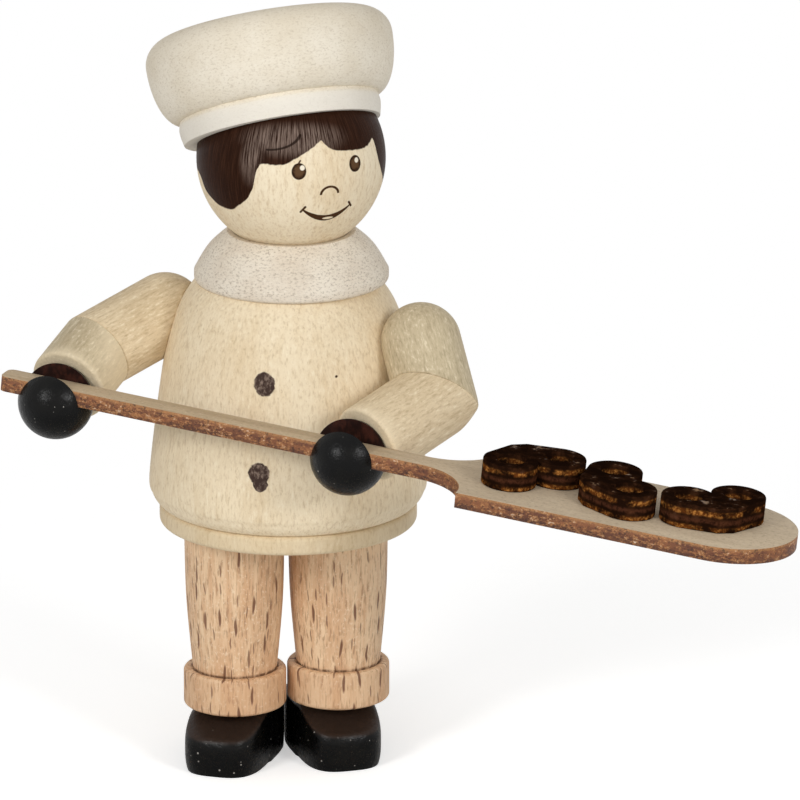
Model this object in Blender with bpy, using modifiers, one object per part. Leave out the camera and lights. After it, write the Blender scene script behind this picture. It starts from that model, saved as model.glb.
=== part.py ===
"""Miniature baker: a turned-wood ornament, pegged and glued, that holds out a peel with three pretzels.

The figure faces -Y and stands on the floor plane Z = 0. The origin is the centre of its left sole.
Left and right are the figure's own.
"""

import math

import bmesh
import bpy
from mathutils import Matrix, Vector

MM = 0.001
GLUE_GAP = 0.15 * MM

# Shoes and stance
SHOE_INSET = 0.86 * MM
SHOE_TOE_LENGTH = 4.7 * MM
SHOE_HEEL_LENGTH = 6.2 * MM
SHOE_HEIGHT = 4.5 * MM
SHOE_TOE_DROP = 1.3 * MM
LEFT_SHOE_OUTSET = -0.29 * MM
RIGHT_SHOE_OUTSET = 0.26 * MM
TOE_OUT = math.radians(17.0)
STANCE_STAGGER = 1.6 * MM
HIP_SHIFT = 0.17 * MM
LEG_CLEARANCE = 0.2 * MM
SHOE_CLEARANCE = 0.1 * MM

# Legs
LEG_TOP_RADIUS = 3.8 * MM
LEG_ANKLE_RADIUS = 3.2 * MM
LEG_LENGTH = 14.2 * MM
TURN_UP_RADIUS = 3.9 * MM
TURN_UP_HEIGHT = 2.9 * MM
TURN_UP_ROUND = 0.3 * MM
KNEE_HEIGHT_SHARE = 0.5
KNEE_FULLNESS = 0.8
HIP_TENON_RADIUS = 1.8 * MM
HIP_TENON_LENGTH = 4.5 * MM
ANKLE_TENON_RADIUS = 1.4 * MM
ANKLE_TENON_LENGTH = 2.2 * MM

# Torso, with heights above its hem
TORSO_HEIGHT = 18.9 * MM
HEM_RADIUS = 9.75 * MM
HEM_HEIGHT = 1.5 * MM
HEM_ROUND = 0.4 * MM
HEM_GROOVE_DEPTH = 0.3 * MM
BELLY_RADIUS = 10.45 * MM
BELLY_HEIGHT = 4.2 * MM
FLARE_TUCK = 0.2
FLARE_HEIGHT_SHARE = 0.35
GROOVE_LIP_SHARE = 0.05
CHEST_RADIUS = 9.35 * MM
CHEST_HEIGHT = 12.7 * MM
YOKE_RADIUS = 8.3 * MM
YOKE_HEIGHT = 16.6 * MM
NECK_TUCK = 0.2 * MM

# Collar
COLLAR_OVERHANG = 0.43 * MM
COLLAR_EDGE = 0.6 * MM
COLLAR_HEIGHT = 3.65 * MM
COLLAR_SWELL = 0.2 * MM
CHIN_ANGLE = math.radians(51.2)
CHIN_LIP = 0.45 * MM
NECK_DOWEL_RADIUS = 1.25 * MM
NECK_DOWEL_DEPTH = 5.0 * MM

# Head and hat
HEAD_RADIUS = 7.1 * MM
HEAD_TURN = math.radians(22.5)
NECK_SHIFT = 0.3 * MM
HAT_TILT = math.radians(25.0)
HAT_SHIFT = 0.35 * MM
HAT_ANGLE = math.radians(16.4)
BAND_LIP = 0.45 * MM
BAND_SWELL = 0.23 * MM
BAND_HEIGHT = 1.75 * MM
BAND_BULGE_SHARE = 0.4
BAND_WAIST_SHARE = 0.41
CROWN_OVERHANG = 1.75 * MM
CROWN_HEIGHT = 6.65 * MM
CROWN_CORNER = 1.9 * MM
CROWN_TOP_RISE = 0.3 * MM
HAT_DOWEL_RADIUS = 1.25 * MM
HAT_DOWEL_DEPTH = 2.6 * MM

# Arms
ARM_RADIUS = 3.02 * MM
RIGHT_SHOULDER_TURN = math.radians(14.0)
LEFT_SHOULDER_TURN = math.radians(26.0)
RIGHT_SHOULDER_HEIGHT = 15.6 * MM
LEFT_SHOULDER_HEIGHT = 15.3 * MM
RIGHT_SHOULDER_STANDOFF = 0.9 * MM
LEFT_SHOULDER_STANDOFF = 2.4 * MM
RIGHT_ELBOW_OUT = 5.1 * MM
RIGHT_ELBOW_FORWARD = 3.2 * MM
RIGHT_ELBOW_DROP = 2.1 * MM
LEFT_ELBOW_OUT = 1.1 * MM
LEFT_ELBOW_FORWARD = 2.6 * MM
LEFT_ELBOW_DROP = 3.62 * MM
ELBOW_SANDING = 0.35 * MM
SHOULDER_DOWEL_RADIUS = 0.8 * MM
SHOULDER_DOWEL_DEPTH = 3.0 * MM
CUFF_ROUND = 0.3 * MM

# Hands
HAND_RADIUS = 2.85 * MM
HAND_SINK = 0.85 * MM
HAND_PLUG_LENGTH = 1.5 * MM
CUFF_WALL = 0.42 * MM
RIGHT_SLOT_RISE = 0.3 * MM
LEFT_SLOT_RISE = -0.15 * MM
SLOT_SET_FORWARD = 0.5 * MM

# Peel: its frame runs along the handle from the figure's right hand to its left
PEEL_TURN = math.radians(19.4)
PEEL_SLOPE = math.radians(6.1)
PEEL_CLEARANCE = 0.9 * MM
PEEL_HEIGHT = 10.7 * MM
PEEL_THICKNESS = 1.15 * MM
HANDLE_WIDTH = 2.05 * MM
HANDLE_END = 18.2 * MM
HANDLE_CORNER = 0.55 * MM
BLADE_START = 19.6 * MM
BLADE_STRAIGHT = 19.0 * MM
BLADE_WIDTH = 10.9 * MM
RIGHT_GRIP = -14.1 * MM
LEFT_GRIP = 9.2 * MM

# Pretzels: places along and across the blade count in loop radii, with the way each tail points
PRETZEL_THICKNESS = 1.95 * MM
LOOP_RADIUS = 2.04 * MM
LOOP_OVERLAP = 0.2 * MM
LOOP_WALL = 0.93 * MM
TAIL_WIDTH = 1.3 * MM
TAIL_REACH = 1.5
PRETZEL_PLACES = (
    (1.99, 0.08, math.radians(132.0)),
    (5.41, -0.17, math.radians(214.0)),
    (8.77, 0.13, math.radians(-52.0)),
)

# Facets
TURN_STEPS = 40
LEG_STEPS = 24
ARM_STEPS = 24
DOWEL_STEPS = 16
ARC_STEPS = 6
BLADE_ARC_STEPS = 20
SHOE_GRID = 6
HANDLE_CORNER_STEPS = 4
MERGE_DISTANCE = 0.000001
CUTTER_REACH = 20.0 * MM

# Shoe section: how square its plan is, and how far its walls lean in
PLAN_SQUARENESS = 3.2
WALL_LEAN_TOP = 0.05
WALL_LEAN_SOLE = 0.05
TOP_CROWN = 0.1

for leftover in list(bpy.data.objects):
    bpy.data.objects.remove(leftover, do_unlink=True)

PARTS = bpy.data.collections.new("miniature_baker")
CUTTERS = bpy.data.collections.new("miniature_baker_cutters")
bpy.context.scene.collection.children.link(PARTS)
bpy.context.scene.collection.children.link(CUTTERS)

UP = Vector((0.0, 0.0, 1.0))


def finish(name, colour, roughness):
    """Return a plain painted or waxed wood material."""
    material = bpy.data.materials.new(name + "_finish")
    material.use_nodes = True
    shader = material.node_tree.nodes["Principled BSDF"]
    shader.inputs["Base Color"].default_value = (*colour, 1.0)
    shader.inputs["Roughness"].default_value = roughness
    shader.inputs["Metallic"].default_value = 0.0
    return material


WHITEWASH = ((0.74, 0.68, 0.58), 0.7)
BARE_MAPLE = ((0.73, 0.60, 0.40), 0.6)
GREY_MAPLE = ((0.60, 0.48, 0.30), 0.65)
BEECH = ((0.60, 0.37, 0.20), 0.55)
BLACK_SATIN = ((0.008, 0.008, 0.007), 0.35)
BIRCH_PLY = ((0.52, 0.40, 0.28), 0.7)
BURNT_PLY = ((0.05, 0.02, 0.008), 0.4)
PEG_WOOD = ((0.62, 0.45, 0.27), 0.6)


def add_object(name, data, look, place):
    """Link a part that carries its own material."""
    obj = bpy.data.objects.new(name, data)
    PARTS.objects.link(obj)
    data.materials.append(finish(name, *look))
    obj.matrix_world = place
    return obj


def add_cutter(name, data, place):
    """Link a shape that only cuts others."""
    obj = bpy.data.objects.new(name, data)
    CUTTERS.objects.link(obj)
    obj.hide_render = True
    obj.display_type = "WIRE"
    obj.matrix_world = place
    return obj


def boolean(obj, cutter, operation="DIFFERENCE"):
    modifier = obj.modifiers.new(operation.title() + " " + cutter.name, "BOOLEAN")
    modifier.operation = operation
    modifier.object = cutter


def profile_mesh(name, profile):
    """Return a mesh of one open outline, given as (radius, height) from top to bottom."""
    mesh = bpy.data.meshes.new(name)
    points = [(radius, 0.0, height) for radius, height in profile]
    mesh.from_pydata(points, [(i, i + 1) for i in range(len(points) - 1)], [])
    return mesh


def turn(obj, steps):
    """Spin an outline about its own Z axis."""
    screw = obj.modifiers.new("Turn", "SCREW")
    screw.axis = "Z"
    screw.angle = math.tau
    screw.steps = steps
    screw.render_steps = steps
    screw.use_merge_vertices = True
    screw.merge_threshold = MERGE_DISTANCE
    screw.use_smooth_shade = True


def turned_part(name, profile, look, place, steps):
    obj = add_object(name, profile_mesh(name, profile), look, place)
    turn(obj, steps)
    return obj


def turned_cutter(name, profile, place, steps):
    obj = add_cutter(name, profile_mesh(name, profile), place)
    turn(obj, steps)
    return obj


def rod(radius, bottom, top):
    """Return the outline of a plain rod."""
    return [(0.0, top), (radius, top), (radius, bottom), (0.0, bottom)]


def arc(centre, radius, start, end, steps=ARC_STEPS):
    """Return points on a circle from one angle to another, in radians."""
    angles = [start + (end - start) * i / steps for i in range(steps + 1)]
    return [(centre[0] + radius * math.cos(a), centre[1] + radius * math.sin(a)) for a in angles]


def ellipse_arc(centre, radii, start, end, steps=ARC_STEPS):
    unit = arc((0.0, 0.0), 1.0, start, end, steps)
    return [(centre[0] + radii[0] * x, centre[1] + radii[1] * y) for x, y in unit]


def flowing(points, per_span=3):
    """Return a smooth Catmull-Rom curve through the given points."""
    padded = [points[0], *points, points[-1]]
    curve = []
    for before, start, end, after in zip(padded, padded[1:], padded[2:], padded[3:]):
        for i in range(per_span):
            t = i / per_span
            curve.append(tuple(
                0.5 * (2 * b + (c - a) * t + (2 * a - 5 * b + 4 * c - d) * t ** 2
                       + (3 * b - a - 3 * c + d) * t ** 3)
                for a, b, c, d in zip(before, start, end, after)))
    return [*curve, points[-1]]


def grown(profile, gap):
    """Return a turned outline moved out by a gap, keeping its poles on the axis."""
    moved = []
    for i, (radius, height) in enumerate(profile):
        before = profile[max(i - 1, 0)]
        after = profile[min(i + 1, len(profile) - 1)]
        along = Vector((after[0] - before[0], after[1] - before[1])).normalized()
        if radius == 0.0:
            moved.append((0.0, height + (gap if i == 0 else -gap)))
        else:
            moved.append((radius - along.y * gap, height + along.x * gap))
    return moved


def aimed(point, direction):
    """Return a place at a point whose Z axis runs along a direction."""
    return Matrix.Translation(point) @ direction.to_track_quat("Z", "Y").to_matrix().to_4x4()


def box_cutter(name, place, low, high):
    """Return a box between two corners in its own frame."""
    mesh = bpy.data.meshes.new(name)
    shape = bmesh.new()
    bmesh.ops.create_cube(shape, size=1.0)
    size = [b - a for a, b in zip(low, high)]
    middle = [(a + b) / 2.0 for a, b in zip(low, high)]
    for vert in shape.verts:
        vert.co = [c * s + m for c, s, m in zip(vert.co, size, middle)]
    shape.to_mesh(mesh)
    shape.free()
    return add_cutter(name, mesh, place)


def ball_profile(radius, steps):
    return [(max(r, 0.0), z) for r, z in arc((0.0, 0.0), radius, math.pi / 2, -math.pi / 2, steps)]


def closed_poles(profile):
    """Set both ends of an outline exactly on the axis."""
    return [(0.0, profile[0][1]), *profile[1:-1], (0.0, profile[-1][1])]


def flat_outline(name, splines, thickness, look, place):
    """Return a flat plate cut to closed outlines, centred on its own XY plane."""
    curve = bpy.data.curves.new(name + "_outline", "CURVE")
    curve.dimensions = "2D"
    curve.fill_mode = "BOTH"
    curve.extrude = thickness / 2.0
    for points in splines:
        spline = curve.splines.new("POLY")
        spline.points.add(len(points) - 1)
        for target, (x, y) in zip(spline.points, points):
            target.co = (x, y, 0.0, 1.0)
        spline.use_cyclic_u = True
    drawn = bpy.data.objects.new(name + "_outline", curve)
    CUTTERS.objects.link(drawn)
    graph = bpy.context.evaluated_depsgraph_get()
    mesh = bpy.data.meshes.new_from_object(drawn.evaluated_get(graph))
    bpy.data.objects.remove(drawn, do_unlink=True)
    shape = bmesh.new()
    shape.from_mesh(mesh)
    bmesh.ops.remove_doubles(shape, verts=shape.verts, dist=MERGE_DISTANCE)
    bmesh.ops.recalc_face_normals(shape, faces=shape.faces)
    shape.to_mesh(mesh)
    shape.free()
    mesh.materials.clear()
    return add_object(name, mesh, look, place)


def smooth_step(value):
    clamped = min(max(value, 0.0), 1.0)
    return clamped * clamped * (3.0 - 2.0 * clamped)


# Heights up the figure
LEG_FOOT = SHOE_HEIGHT + GLUE_GAP
HEM_Z = LEG_FOOT + LEG_LENGTH + GLUE_GAP
TORSO_TOP_Z = HEM_Z + TORSO_HEIGHT
COLLAR_Z = TORSO_TOP_Z + GLUE_GAP
CHIN_Z = COLLAR_Z + COLLAR_HEIGHT
SEAT_RADIUS = HEAD_RADIUS + GLUE_GAP
HEAD_Z = CHIN_Z + SEAT_RADIUS * math.sin(CHIN_ANGLE)

TORSO_TOP_RADIUS = HEAD_RADIUS - NECK_TUCK
SHOE_WIDTH = 2.0 * (TURN_UP_RADIUS - SHOE_INSET)
HAND_REACH = HAND_RADIUS - HAND_SINK
HAND_PLUG_RADIUS = ARM_RADIUS - CUFF_WALL - GLUE_GAP


def shoe_plan(across, along):
    """Return the place on the shoe's widest section for a point of a square from -1 to 1."""
    ring = max(abs(across), abs(along))
    squared = (abs(across) ** PLAN_SQUARENESS + abs(along) ** PLAN_SQUARENESS) ** (1 / PLAN_SQUARENESS)
    rounding = ring / squared if squared else 0.0
    length = SHOE_HEEL_LENGTH if along > 0.0 else SHOE_TOE_LENGTH
    return across * rounding * SHOE_WIDTH / 2.0, along * rounding * length


def stance_width():
    """Return the distance between the feet that keeps the legs and the turned-out heels apart."""
    legs = 2.0 * TURN_UP_RADIUS + LEG_CLEARANCE
    heel_edge = [shoe_plan(-1.0, i / TURN_STEPS) for i in range(TURN_STEPS + 1)]
    heel_edge += [shoe_plan(-i / TURN_STEPS, 1.0) for i in range(TURN_STEPS + 1)]
    heel_reach = max(y * math.sin(TOE_OUT) - x * math.cos(TOE_OUT) for x, y in heel_edge)
    outset = (LEFT_SHOE_OUTSET + RIGHT_SHOE_OUTSET) * math.cos(TOE_OUT)
    return max(math.sqrt(legs ** 2 - STANCE_STAGGER ** 2), 2.0 * heel_reach - outset + SHOE_CLEARANCE)


LEFT_FOOT = Vector((0.0, 0.0, 0.0))
RIGHT_FOOT = Vector((-stance_width(), -STANCE_STAGGER, 0.0))
AXIS = (LEFT_FOOT + RIGHT_FOOT) / 2.0 + Vector((HIP_SHIFT, 0.0, 0.0))


def shoe_mesh(name, outset):
    """Return a shoe block with its toe to -Y, shaped from a gridded cube and moved over by an outset."""
    mesh = bpy.data.meshes.new(name)
    shape = bmesh.new()
    bmesh.ops.create_cube(shape, size=2.0)
    bmesh.ops.subdivide_edges(shape, edges=shape.edges, cuts=SHOE_GRID, use_grid_fill=True)
    for vert in shape.verts:
        across, along, up = vert.co
        ring = max(abs(across), abs(along))
        lean = 1.0 - WALL_LEAN_TOP * max(up, 0.0) ** 3 - WALL_LEAN_SOLE * max(-up, 0.0) ** 3
        x, y = (lean * reach for reach in shoe_plan(across, along))
        crest = SHOE_HEIGHT - SHOE_TOE_DROP * smooth_step(-y / SHOE_TOE_LENGTH)
        crown = 1.0 - TOP_CROWN * ring ** 4 * max(up, 0.0)
        vert.co = (x + outset, y, crest * crown * (up + 1.0) / 2.0)
    shape.to_mesh(mesh)
    shape.free()
    return mesh


def leg_profile():
    """Return the trouser leg's outline, from its hip tenon down to its ankle tenon."""
    turn_up_top = LEG_FOOT + TURN_UP_HEIGHT
    leg_top = LEG_FOOT + LEG_LENGTH
    thigh_drop = (leg_top - turn_up_top) * KNEE_HEIGHT_SHARE
    knee_radius = LEG_ANKLE_RADIUS + (LEG_TOP_RADIUS - LEG_ANKLE_RADIUS) * KNEE_FULLNESS
    side = flowing([
        (LEG_TOP_RADIUS, leg_top),
        (knee_radius, leg_top - thigh_drop),
        (LEG_ANKLE_RADIUS, turn_up_top),
    ])
    return [
        (0.0, leg_top + HIP_TENON_LENGTH),
        (HIP_TENON_RADIUS, leg_top + HIP_TENON_LENGTH),
        (HIP_TENON_RADIUS, leg_top),
        *side,
        *arc((TURN_UP_RADIUS - TURN_UP_ROUND, turn_up_top - TURN_UP_ROUND), TURN_UP_ROUND,
             math.pi / 2, 0.0, 3),
        *arc((TURN_UP_RADIUS - TURN_UP_ROUND, LEG_FOOT + TURN_UP_ROUND), TURN_UP_ROUND,
             0.0, -math.pi / 2, 3),
        (ANKLE_TENON_RADIUS, LEG_FOOT),
        (ANKLE_TENON_RADIUS, LEG_FOOT - ANKLE_TENON_LENGTH),
        (0.0, LEG_FOOT - ANKLE_TENON_LENGTH),
    ]


def torso_profile():
    """Return the body's outline from the flat under the collar to the hem."""
    groove_z = HEM_Z + HEM_HEIGHT
    swell = BELLY_RADIUS - HEM_RADIUS
    flare = BELLY_HEIGHT - HEM_HEIGHT
    side = flowing([
        (TORSO_TOP_RADIUS, TORSO_TOP_Z),
        (YOKE_RADIUS, HEM_Z + YOKE_HEIGHT),
        (CHEST_RADIUS, HEM_Z + CHEST_HEIGHT),
        (BELLY_RADIUS, HEM_Z + BELLY_HEIGHT),
        (BELLY_RADIUS - FLARE_TUCK * swell, groove_z + FLARE_HEIGHT_SHARE * flare),
        (HEM_RADIUS, groove_z + GROOVE_LIP_SHARE * flare),
    ])
    return [
        (0.0, TORSO_TOP_Z),
        *side,
        (HEM_RADIUS - HEM_GROOVE_DEPTH, groove_z),
        *arc((HEM_RADIUS - HEM_ROUND, groove_z - HEM_ROUND), HEM_ROUND, math.pi / 2, 0.0, 2),
        *arc((HEM_RADIUS - HEM_ROUND, HEM_Z + HEM_ROUND), HEM_ROUND, 0.0, -math.pi / 2, 3),
        (0.0, HEM_Z),
    ]


def radius_at(profile, height):
    """Return the outer radius of a turned outline at a height."""
    crossings = []
    for (r0, z0), (r1, z1) in zip(profile, profile[1:]):
        if min(z0, z1) <= height <= max(z0, z1) and z0 != z1:
            crossings.append(r0 + (r1 - r0) * (height - z0) / (z1 - z0))
    return max(crossings)


TORSO_PROFILE = torso_profile()


def place_on_axis(height=0.0, shift=0.0):
    return Matrix.Translation(AXIS + Vector((shift, 0.0, height)))


def build_legs_and_shoes(torso):
    for name, foot, toe_out, outset in (
        ("left", LEFT_FOOT, TOE_OUT, LEFT_SHOE_OUTSET),
        ("right", RIGHT_FOOT, -TOE_OUT, -RIGHT_SHOE_OUTSET),
    ):
        stand = Matrix.Translation(foot) @ Matrix.Rotation(toe_out, 4, "Z")
        shoe = add_object(name + "_shoe", shoe_mesh(name + "_shoe", outset), BLACK_SATIN, stand)
        leg = turned_part(name + "_leg", leg_profile(), BEECH, Matrix.Translation(foot), LEG_STEPS)
        hip = HEM_Z + HIP_TENON_LENGTH
        hip_hole = rod(HIP_TENON_RADIUS + GLUE_GAP, HEM_Z - CUTTER_REACH / 4.0, hip)
        boolean(torso, turned_cutter(name + "_hip_hole", hip_hole, leg.matrix_world, LEG_STEPS))
        ankle_bottom = LEG_FOOT - ANKLE_TENON_LENGTH - GLUE_GAP
        ankle_hole = rod(ANKLE_TENON_RADIUS + GLUE_GAP, ankle_bottom, LEG_FOOT + CUTTER_REACH / 4.0)
        boolean(shoe, turned_cutter(name + "_ankle_hole", ankle_hole, leg.matrix_world, DOWEL_STEPS))


def collar_profile():
    """Return the collar's outline: a dome-sided ring whose bore is cut later."""
    rim = TORSO_TOP_RADIUS + COLLAR_OVERHANG
    lip = SEAT_RADIUS * math.cos(CHIN_ANGLE) + CHIN_LIP
    half_edge = COLLAR_EDGE / 2.0
    middle = ((rim + lip) / 2.0 + COLLAR_SWELL, (COLLAR_EDGE + COLLAR_HEIGHT) / 2.0 + COLLAR_SWELL)
    slope = flowing([(lip, COLLAR_HEIGHT), middle, (rim, COLLAR_EDGE)])
    return [
        (0.0, COLLAR_HEIGHT),
        *slope,
        *ellipse_arc((rim - half_edge, half_edge), (half_edge, half_edge), 0.0, -math.pi / 2, 3),
        (0.0, 0.0),
    ]


def hat_profile():
    """Return the hat's outline about the head's centre: a low crown on a swelling band."""
    opening = SEAT_RADIUS * math.cos(HAT_ANGLE)
    brim_z = SEAT_RADIUS * math.sin(HAT_ANGLE)
    band_radius = opening + BAND_LIP
    crown_z = brim_z + BAND_HEIGHT
    crown_radius = band_radius + CROWN_OVERHANG + BAND_SWELL
    crown_top = crown_z + CROWN_HEIGHT
    shoulder_z = crown_top - CROWN_TOP_RISE - CROWN_CORNER
    waist = band_radius + BAND_WAIST_SHARE * BAND_SWELL
    return [
        *flowing([(0.0, crown_top), (crown_radius - CROWN_CORNER, crown_top - CROWN_TOP_RISE)], 4),
        *arc((crown_radius - CROWN_CORNER, shoulder_z), CROWN_CORNER, math.pi / 2, 0.0)[1:],
        *ellipse_arc((waist, shoulder_z), (crown_radius - waist, shoulder_z - crown_z),
                     0.0, -math.pi / 2)[1:],
        *flowing([
            (waist, crown_z),
            (band_radius + BAND_SWELL, crown_z - BAND_BULGE_SHARE * BAND_HEIGHT),
            (band_radius, brim_z),
        ])[1:],
        (0.0, brim_z),
    ]


def build_head_and_hat(torso):
    head_place = place_on_axis(HEAD_Z, NECK_SHIFT)
    head = turned_part("head", closed_poles(ball_profile(HEAD_RADIUS, TURN_STEPS // 2)), BARE_MAPLE,
                       head_place, TURN_STEPS)
    seat = turned_cutter("head_seat", closed_poles(ball_profile(SEAT_RADIUS, TURN_STEPS // 2)),
                         head_place, TURN_STEPS)

    neck_place = place_on_axis(0.0, NECK_SHIFT)
    collar = turned_part("collar", collar_profile(), WHITEWASH, place_on_axis(COLLAR_Z, NECK_SHIFT),
                         TURN_STEPS)
    boolean(collar, seat)
    neck_low = TORSO_TOP_Z - NECK_DOWEL_DEPTH
    neck_high = HEAD_Z - HEAD_RADIUS + NECK_DOWEL_DEPTH
    turned_part("neck_dowel", rod(NECK_DOWEL_RADIUS, neck_low, neck_high), PEG_WOOD,
                neck_place, DOWEL_STEPS)
    neck_hole = turned_cutter("neck_hole", grown_rod(NECK_DOWEL_RADIUS, neck_low, neck_high),
                              neck_place, DOWEL_STEPS)
    for piece in (torso, collar, head):
        boolean(piece, neck_hole)

    tilted = Matrix.Rotation(HEAD_TURN, 4, "Z") @ Matrix.Rotation(-HAT_TILT, 4, "X")
    hat_place = head_place @ tilted @ Matrix.Translation((-HAT_SHIFT, 0.0, 0.0))
    hat = turned_part("hat", hat_profile(), WHITEWASH, hat_place, TURN_STEPS)
    boolean(hat, seat)
    dowel_low = HEAD_RADIUS - HAT_DOWEL_DEPTH
    dowel_high = SEAT_RADIUS + HAT_DOWEL_DEPTH
    dowel_place = head_place @ tilted
    turned_part("hat_dowel", rod(HAT_DOWEL_RADIUS, dowel_low, dowel_high), PEG_WOOD,
                dowel_place, DOWEL_STEPS)
    dowel_hole = turned_cutter("hat_dowel_hole", grown_rod(HAT_DOWEL_RADIUS, dowel_low, dowel_high),
                               dowel_place, DOWEL_STEPS)
    for piece in (head, hat):
        boolean(piece, dowel_hole)


def grown_rod(radius, bottom, top):
    """Return the hole for a rod, one glue gap larger all round."""
    return rod(radius + GLUE_GAP, bottom - GLUE_GAP, top + GLUE_GAP)


def peel_place():
    """Return the handle's frame: X along the handle, Y away from the viewer, Z out of its flat."""
    along = Vector((
        math.cos(PEEL_TURN) * math.cos(PEEL_SLOPE),
        -math.sin(PEEL_TURN) * math.cos(PEEL_SLOPE),
        -math.sin(PEEL_SLOPE)))
    across = UP.cross(along).normalized()
    standoff = BELLY_RADIUS + PEEL_CLEARANCE + HANDLE_WIDTH / 2.0
    middle = AXIS - across * standoff + UP * (HEM_Z + PEEL_HEIGHT)
    rotation = Matrix((along, across, along.cross(across))).transposed()
    return Matrix.Translation(middle) @ rotation.to_4x4()


def build_arm(side, torso, torso_room, peel):
    """Build one arm from the shoulder peg to the slotted hand."""
    right = side == "right"
    height = RIGHT_SHOULDER_HEIGHT if right else LEFT_SHOULDER_HEIGHT
    standoff = RIGHT_SHOULDER_STANDOFF if right else LEFT_SHOULDER_STANDOFF
    turned = RIGHT_SHOULDER_TURN if right else LEFT_SHOULDER_TURN
    outward = Vector((math.cos(turned), -math.sin(turned), 0.0)) * (-1.0 if right else 1.0)
    torso_radius = radius_at(TORSO_PROFILE, HEM_Z + height)
    shoulder = AXIS + outward * (torso_radius + standoff) + UP * (HEM_Z + height)
    if right:
        elbow = shoulder + Vector((-RIGHT_ELBOW_OUT, -RIGHT_ELBOW_FORWARD, -RIGHT_ELBOW_DROP))
    else:
        elbow = shoulder + Vector((LEFT_ELBOW_OUT, -LEFT_ELBOW_FORWARD, -LEFT_ELBOW_DROP))
    slot_drop = PEEL_THICKNESS / 2.0 + GLUE_GAP + (RIGHT_SLOT_RISE if right else LEFT_SLOT_RISE)
    grip = RIGHT_GRIP if right else LEFT_GRIP
    hand_centre = peel @ Vector((grip, SLOT_SET_FORWARD, -slot_drop))

    upper_way = (elbow - shoulder).normalized()
    lower_way = (hand_centre - elbow).normalized()
    mitre_way = (upper_way + lower_way).normalized()
    overrun = 2.0 * ARM_RADIUS
    corner_way = (upper_way - lower_way).normalized()
    corner_reach = ARM_RADIUS / math.cos(upper_way.angle(lower_way) / 2.0)

    upper_length = (elbow - shoulder).length + overrun
    dome = arc((0.0, 0.0), ARM_RADIUS, math.pi / 2, 0.0)
    upper_profile = [(0.0, ARM_RADIUS), *dome[1:], (ARM_RADIUS, -upper_length), (0.0, -upper_length)]
    upper = turned_part(side + "_upper_arm", upper_profile, GREY_MAPLE,
                        aimed(shoulder, -upper_way), ARM_STEPS)
    reach = (CUTTER_REACH, CUTTER_REACH, CUTTER_REACH)
    half_gap = GLUE_GAP / 2.0
    boolean(upper, box_cutter(side + "_elbow_far_side", aimed(elbow, mitre_way),
                              (-reach[0], -reach[1], -half_gap), reach))
    boolean(upper, torso_room)
    sanded_off = box_cutter(side + "_elbow_sanding", aimed(elbow, corner_way),
                            (-reach[0], -reach[1], corner_reach - ELBOW_SANDING), reach)
    boolean(upper, sanded_off)

    lower_length = (hand_centre - elbow).length - HAND_REACH
    cuff = arc((ARM_RADIUS - CUFF_ROUND, lower_length - CUFF_ROUND), CUFF_ROUND, math.pi / 2, 0.0, 3)
    lower_profile = [(0.0, lower_length), *cuff, (ARM_RADIUS, -overrun), (0.0, -overrun)]
    forearm = turned_part(side + "_forearm", lower_profile, GREY_MAPLE,
                          aimed(elbow, lower_way), ARM_STEPS)
    boolean(forearm, box_cutter(side + "_elbow_near_side", aimed(elbow, mitre_way),
                                (-reach[0], -reach[1], -reach[2]), (reach[0], reach[1], half_gap)))
    boolean(forearm, torso_room)
    boolean(forearm, sanded_off)

    hand_place = aimed(hand_centre, lower_way)
    ball_steps = ARM_STEPS // 2
    hand = turned_part(side + "_hand", hand_profile(ball_steps), BLACK_SATIN, hand_place, ARM_STEPS)
    bore = grown_rod(HAND_PLUG_RADIUS, -HAND_REACH - HAND_PLUG_LENGTH, HAND_RADIUS)
    boolean(forearm, turned_cutter(side + "_cuff_bore", bore, hand_place, ARM_STEPS))
    slot_half = HANDLE_WIDTH / 2.0 + GLUE_GAP
    slot_floor = -PEEL_THICKNESS / 2.0 - GLUE_GAP
    slot = box_cutter(side + "_hand_slot", peel,
                      (grip - CUTTER_REACH / 4.0, -slot_half, slot_floor),
                      (grip + CUTTER_REACH / 4.0, slot_half, CUTTER_REACH / 2.0))
    boolean(hand, slot)

    peg_place = aimed(shoulder, outward)
    peg_in = -standoff - SHOULDER_DOWEL_DEPTH
    peg_out = ARM_RADIUS / 2.0
    turned_part(side + "_shoulder_dowel", rod(SHOULDER_DOWEL_RADIUS, peg_in, peg_out), PEG_WOOD,
                peg_place, DOWEL_STEPS)
    peg_hole = turned_cutter(side + "_shoulder_hole", grown_rod(SHOULDER_DOWEL_RADIUS, peg_in, peg_out),
                             peg_place, DOWEL_STEPS)
    boolean(torso, peg_hole)
    boolean(upper, peg_hole)


def hand_profile(steps):
    """Return the ball hand's outline, with the plug that fills the cuff's bore flush with its end."""
    neck_angle = -math.asin(HAND_REACH / HAND_RADIUS)
    ball = arc((0.0, 0.0), HAND_RADIUS, math.pi / 2, neck_angle, steps)
    plug = rod(HAND_PLUG_RADIUS, -HAND_REACH - HAND_PLUG_LENGTH, -HAND_REACH)
    return [(0.0, HAND_RADIUS), *ball[1:], *plug[1:]]


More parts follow.
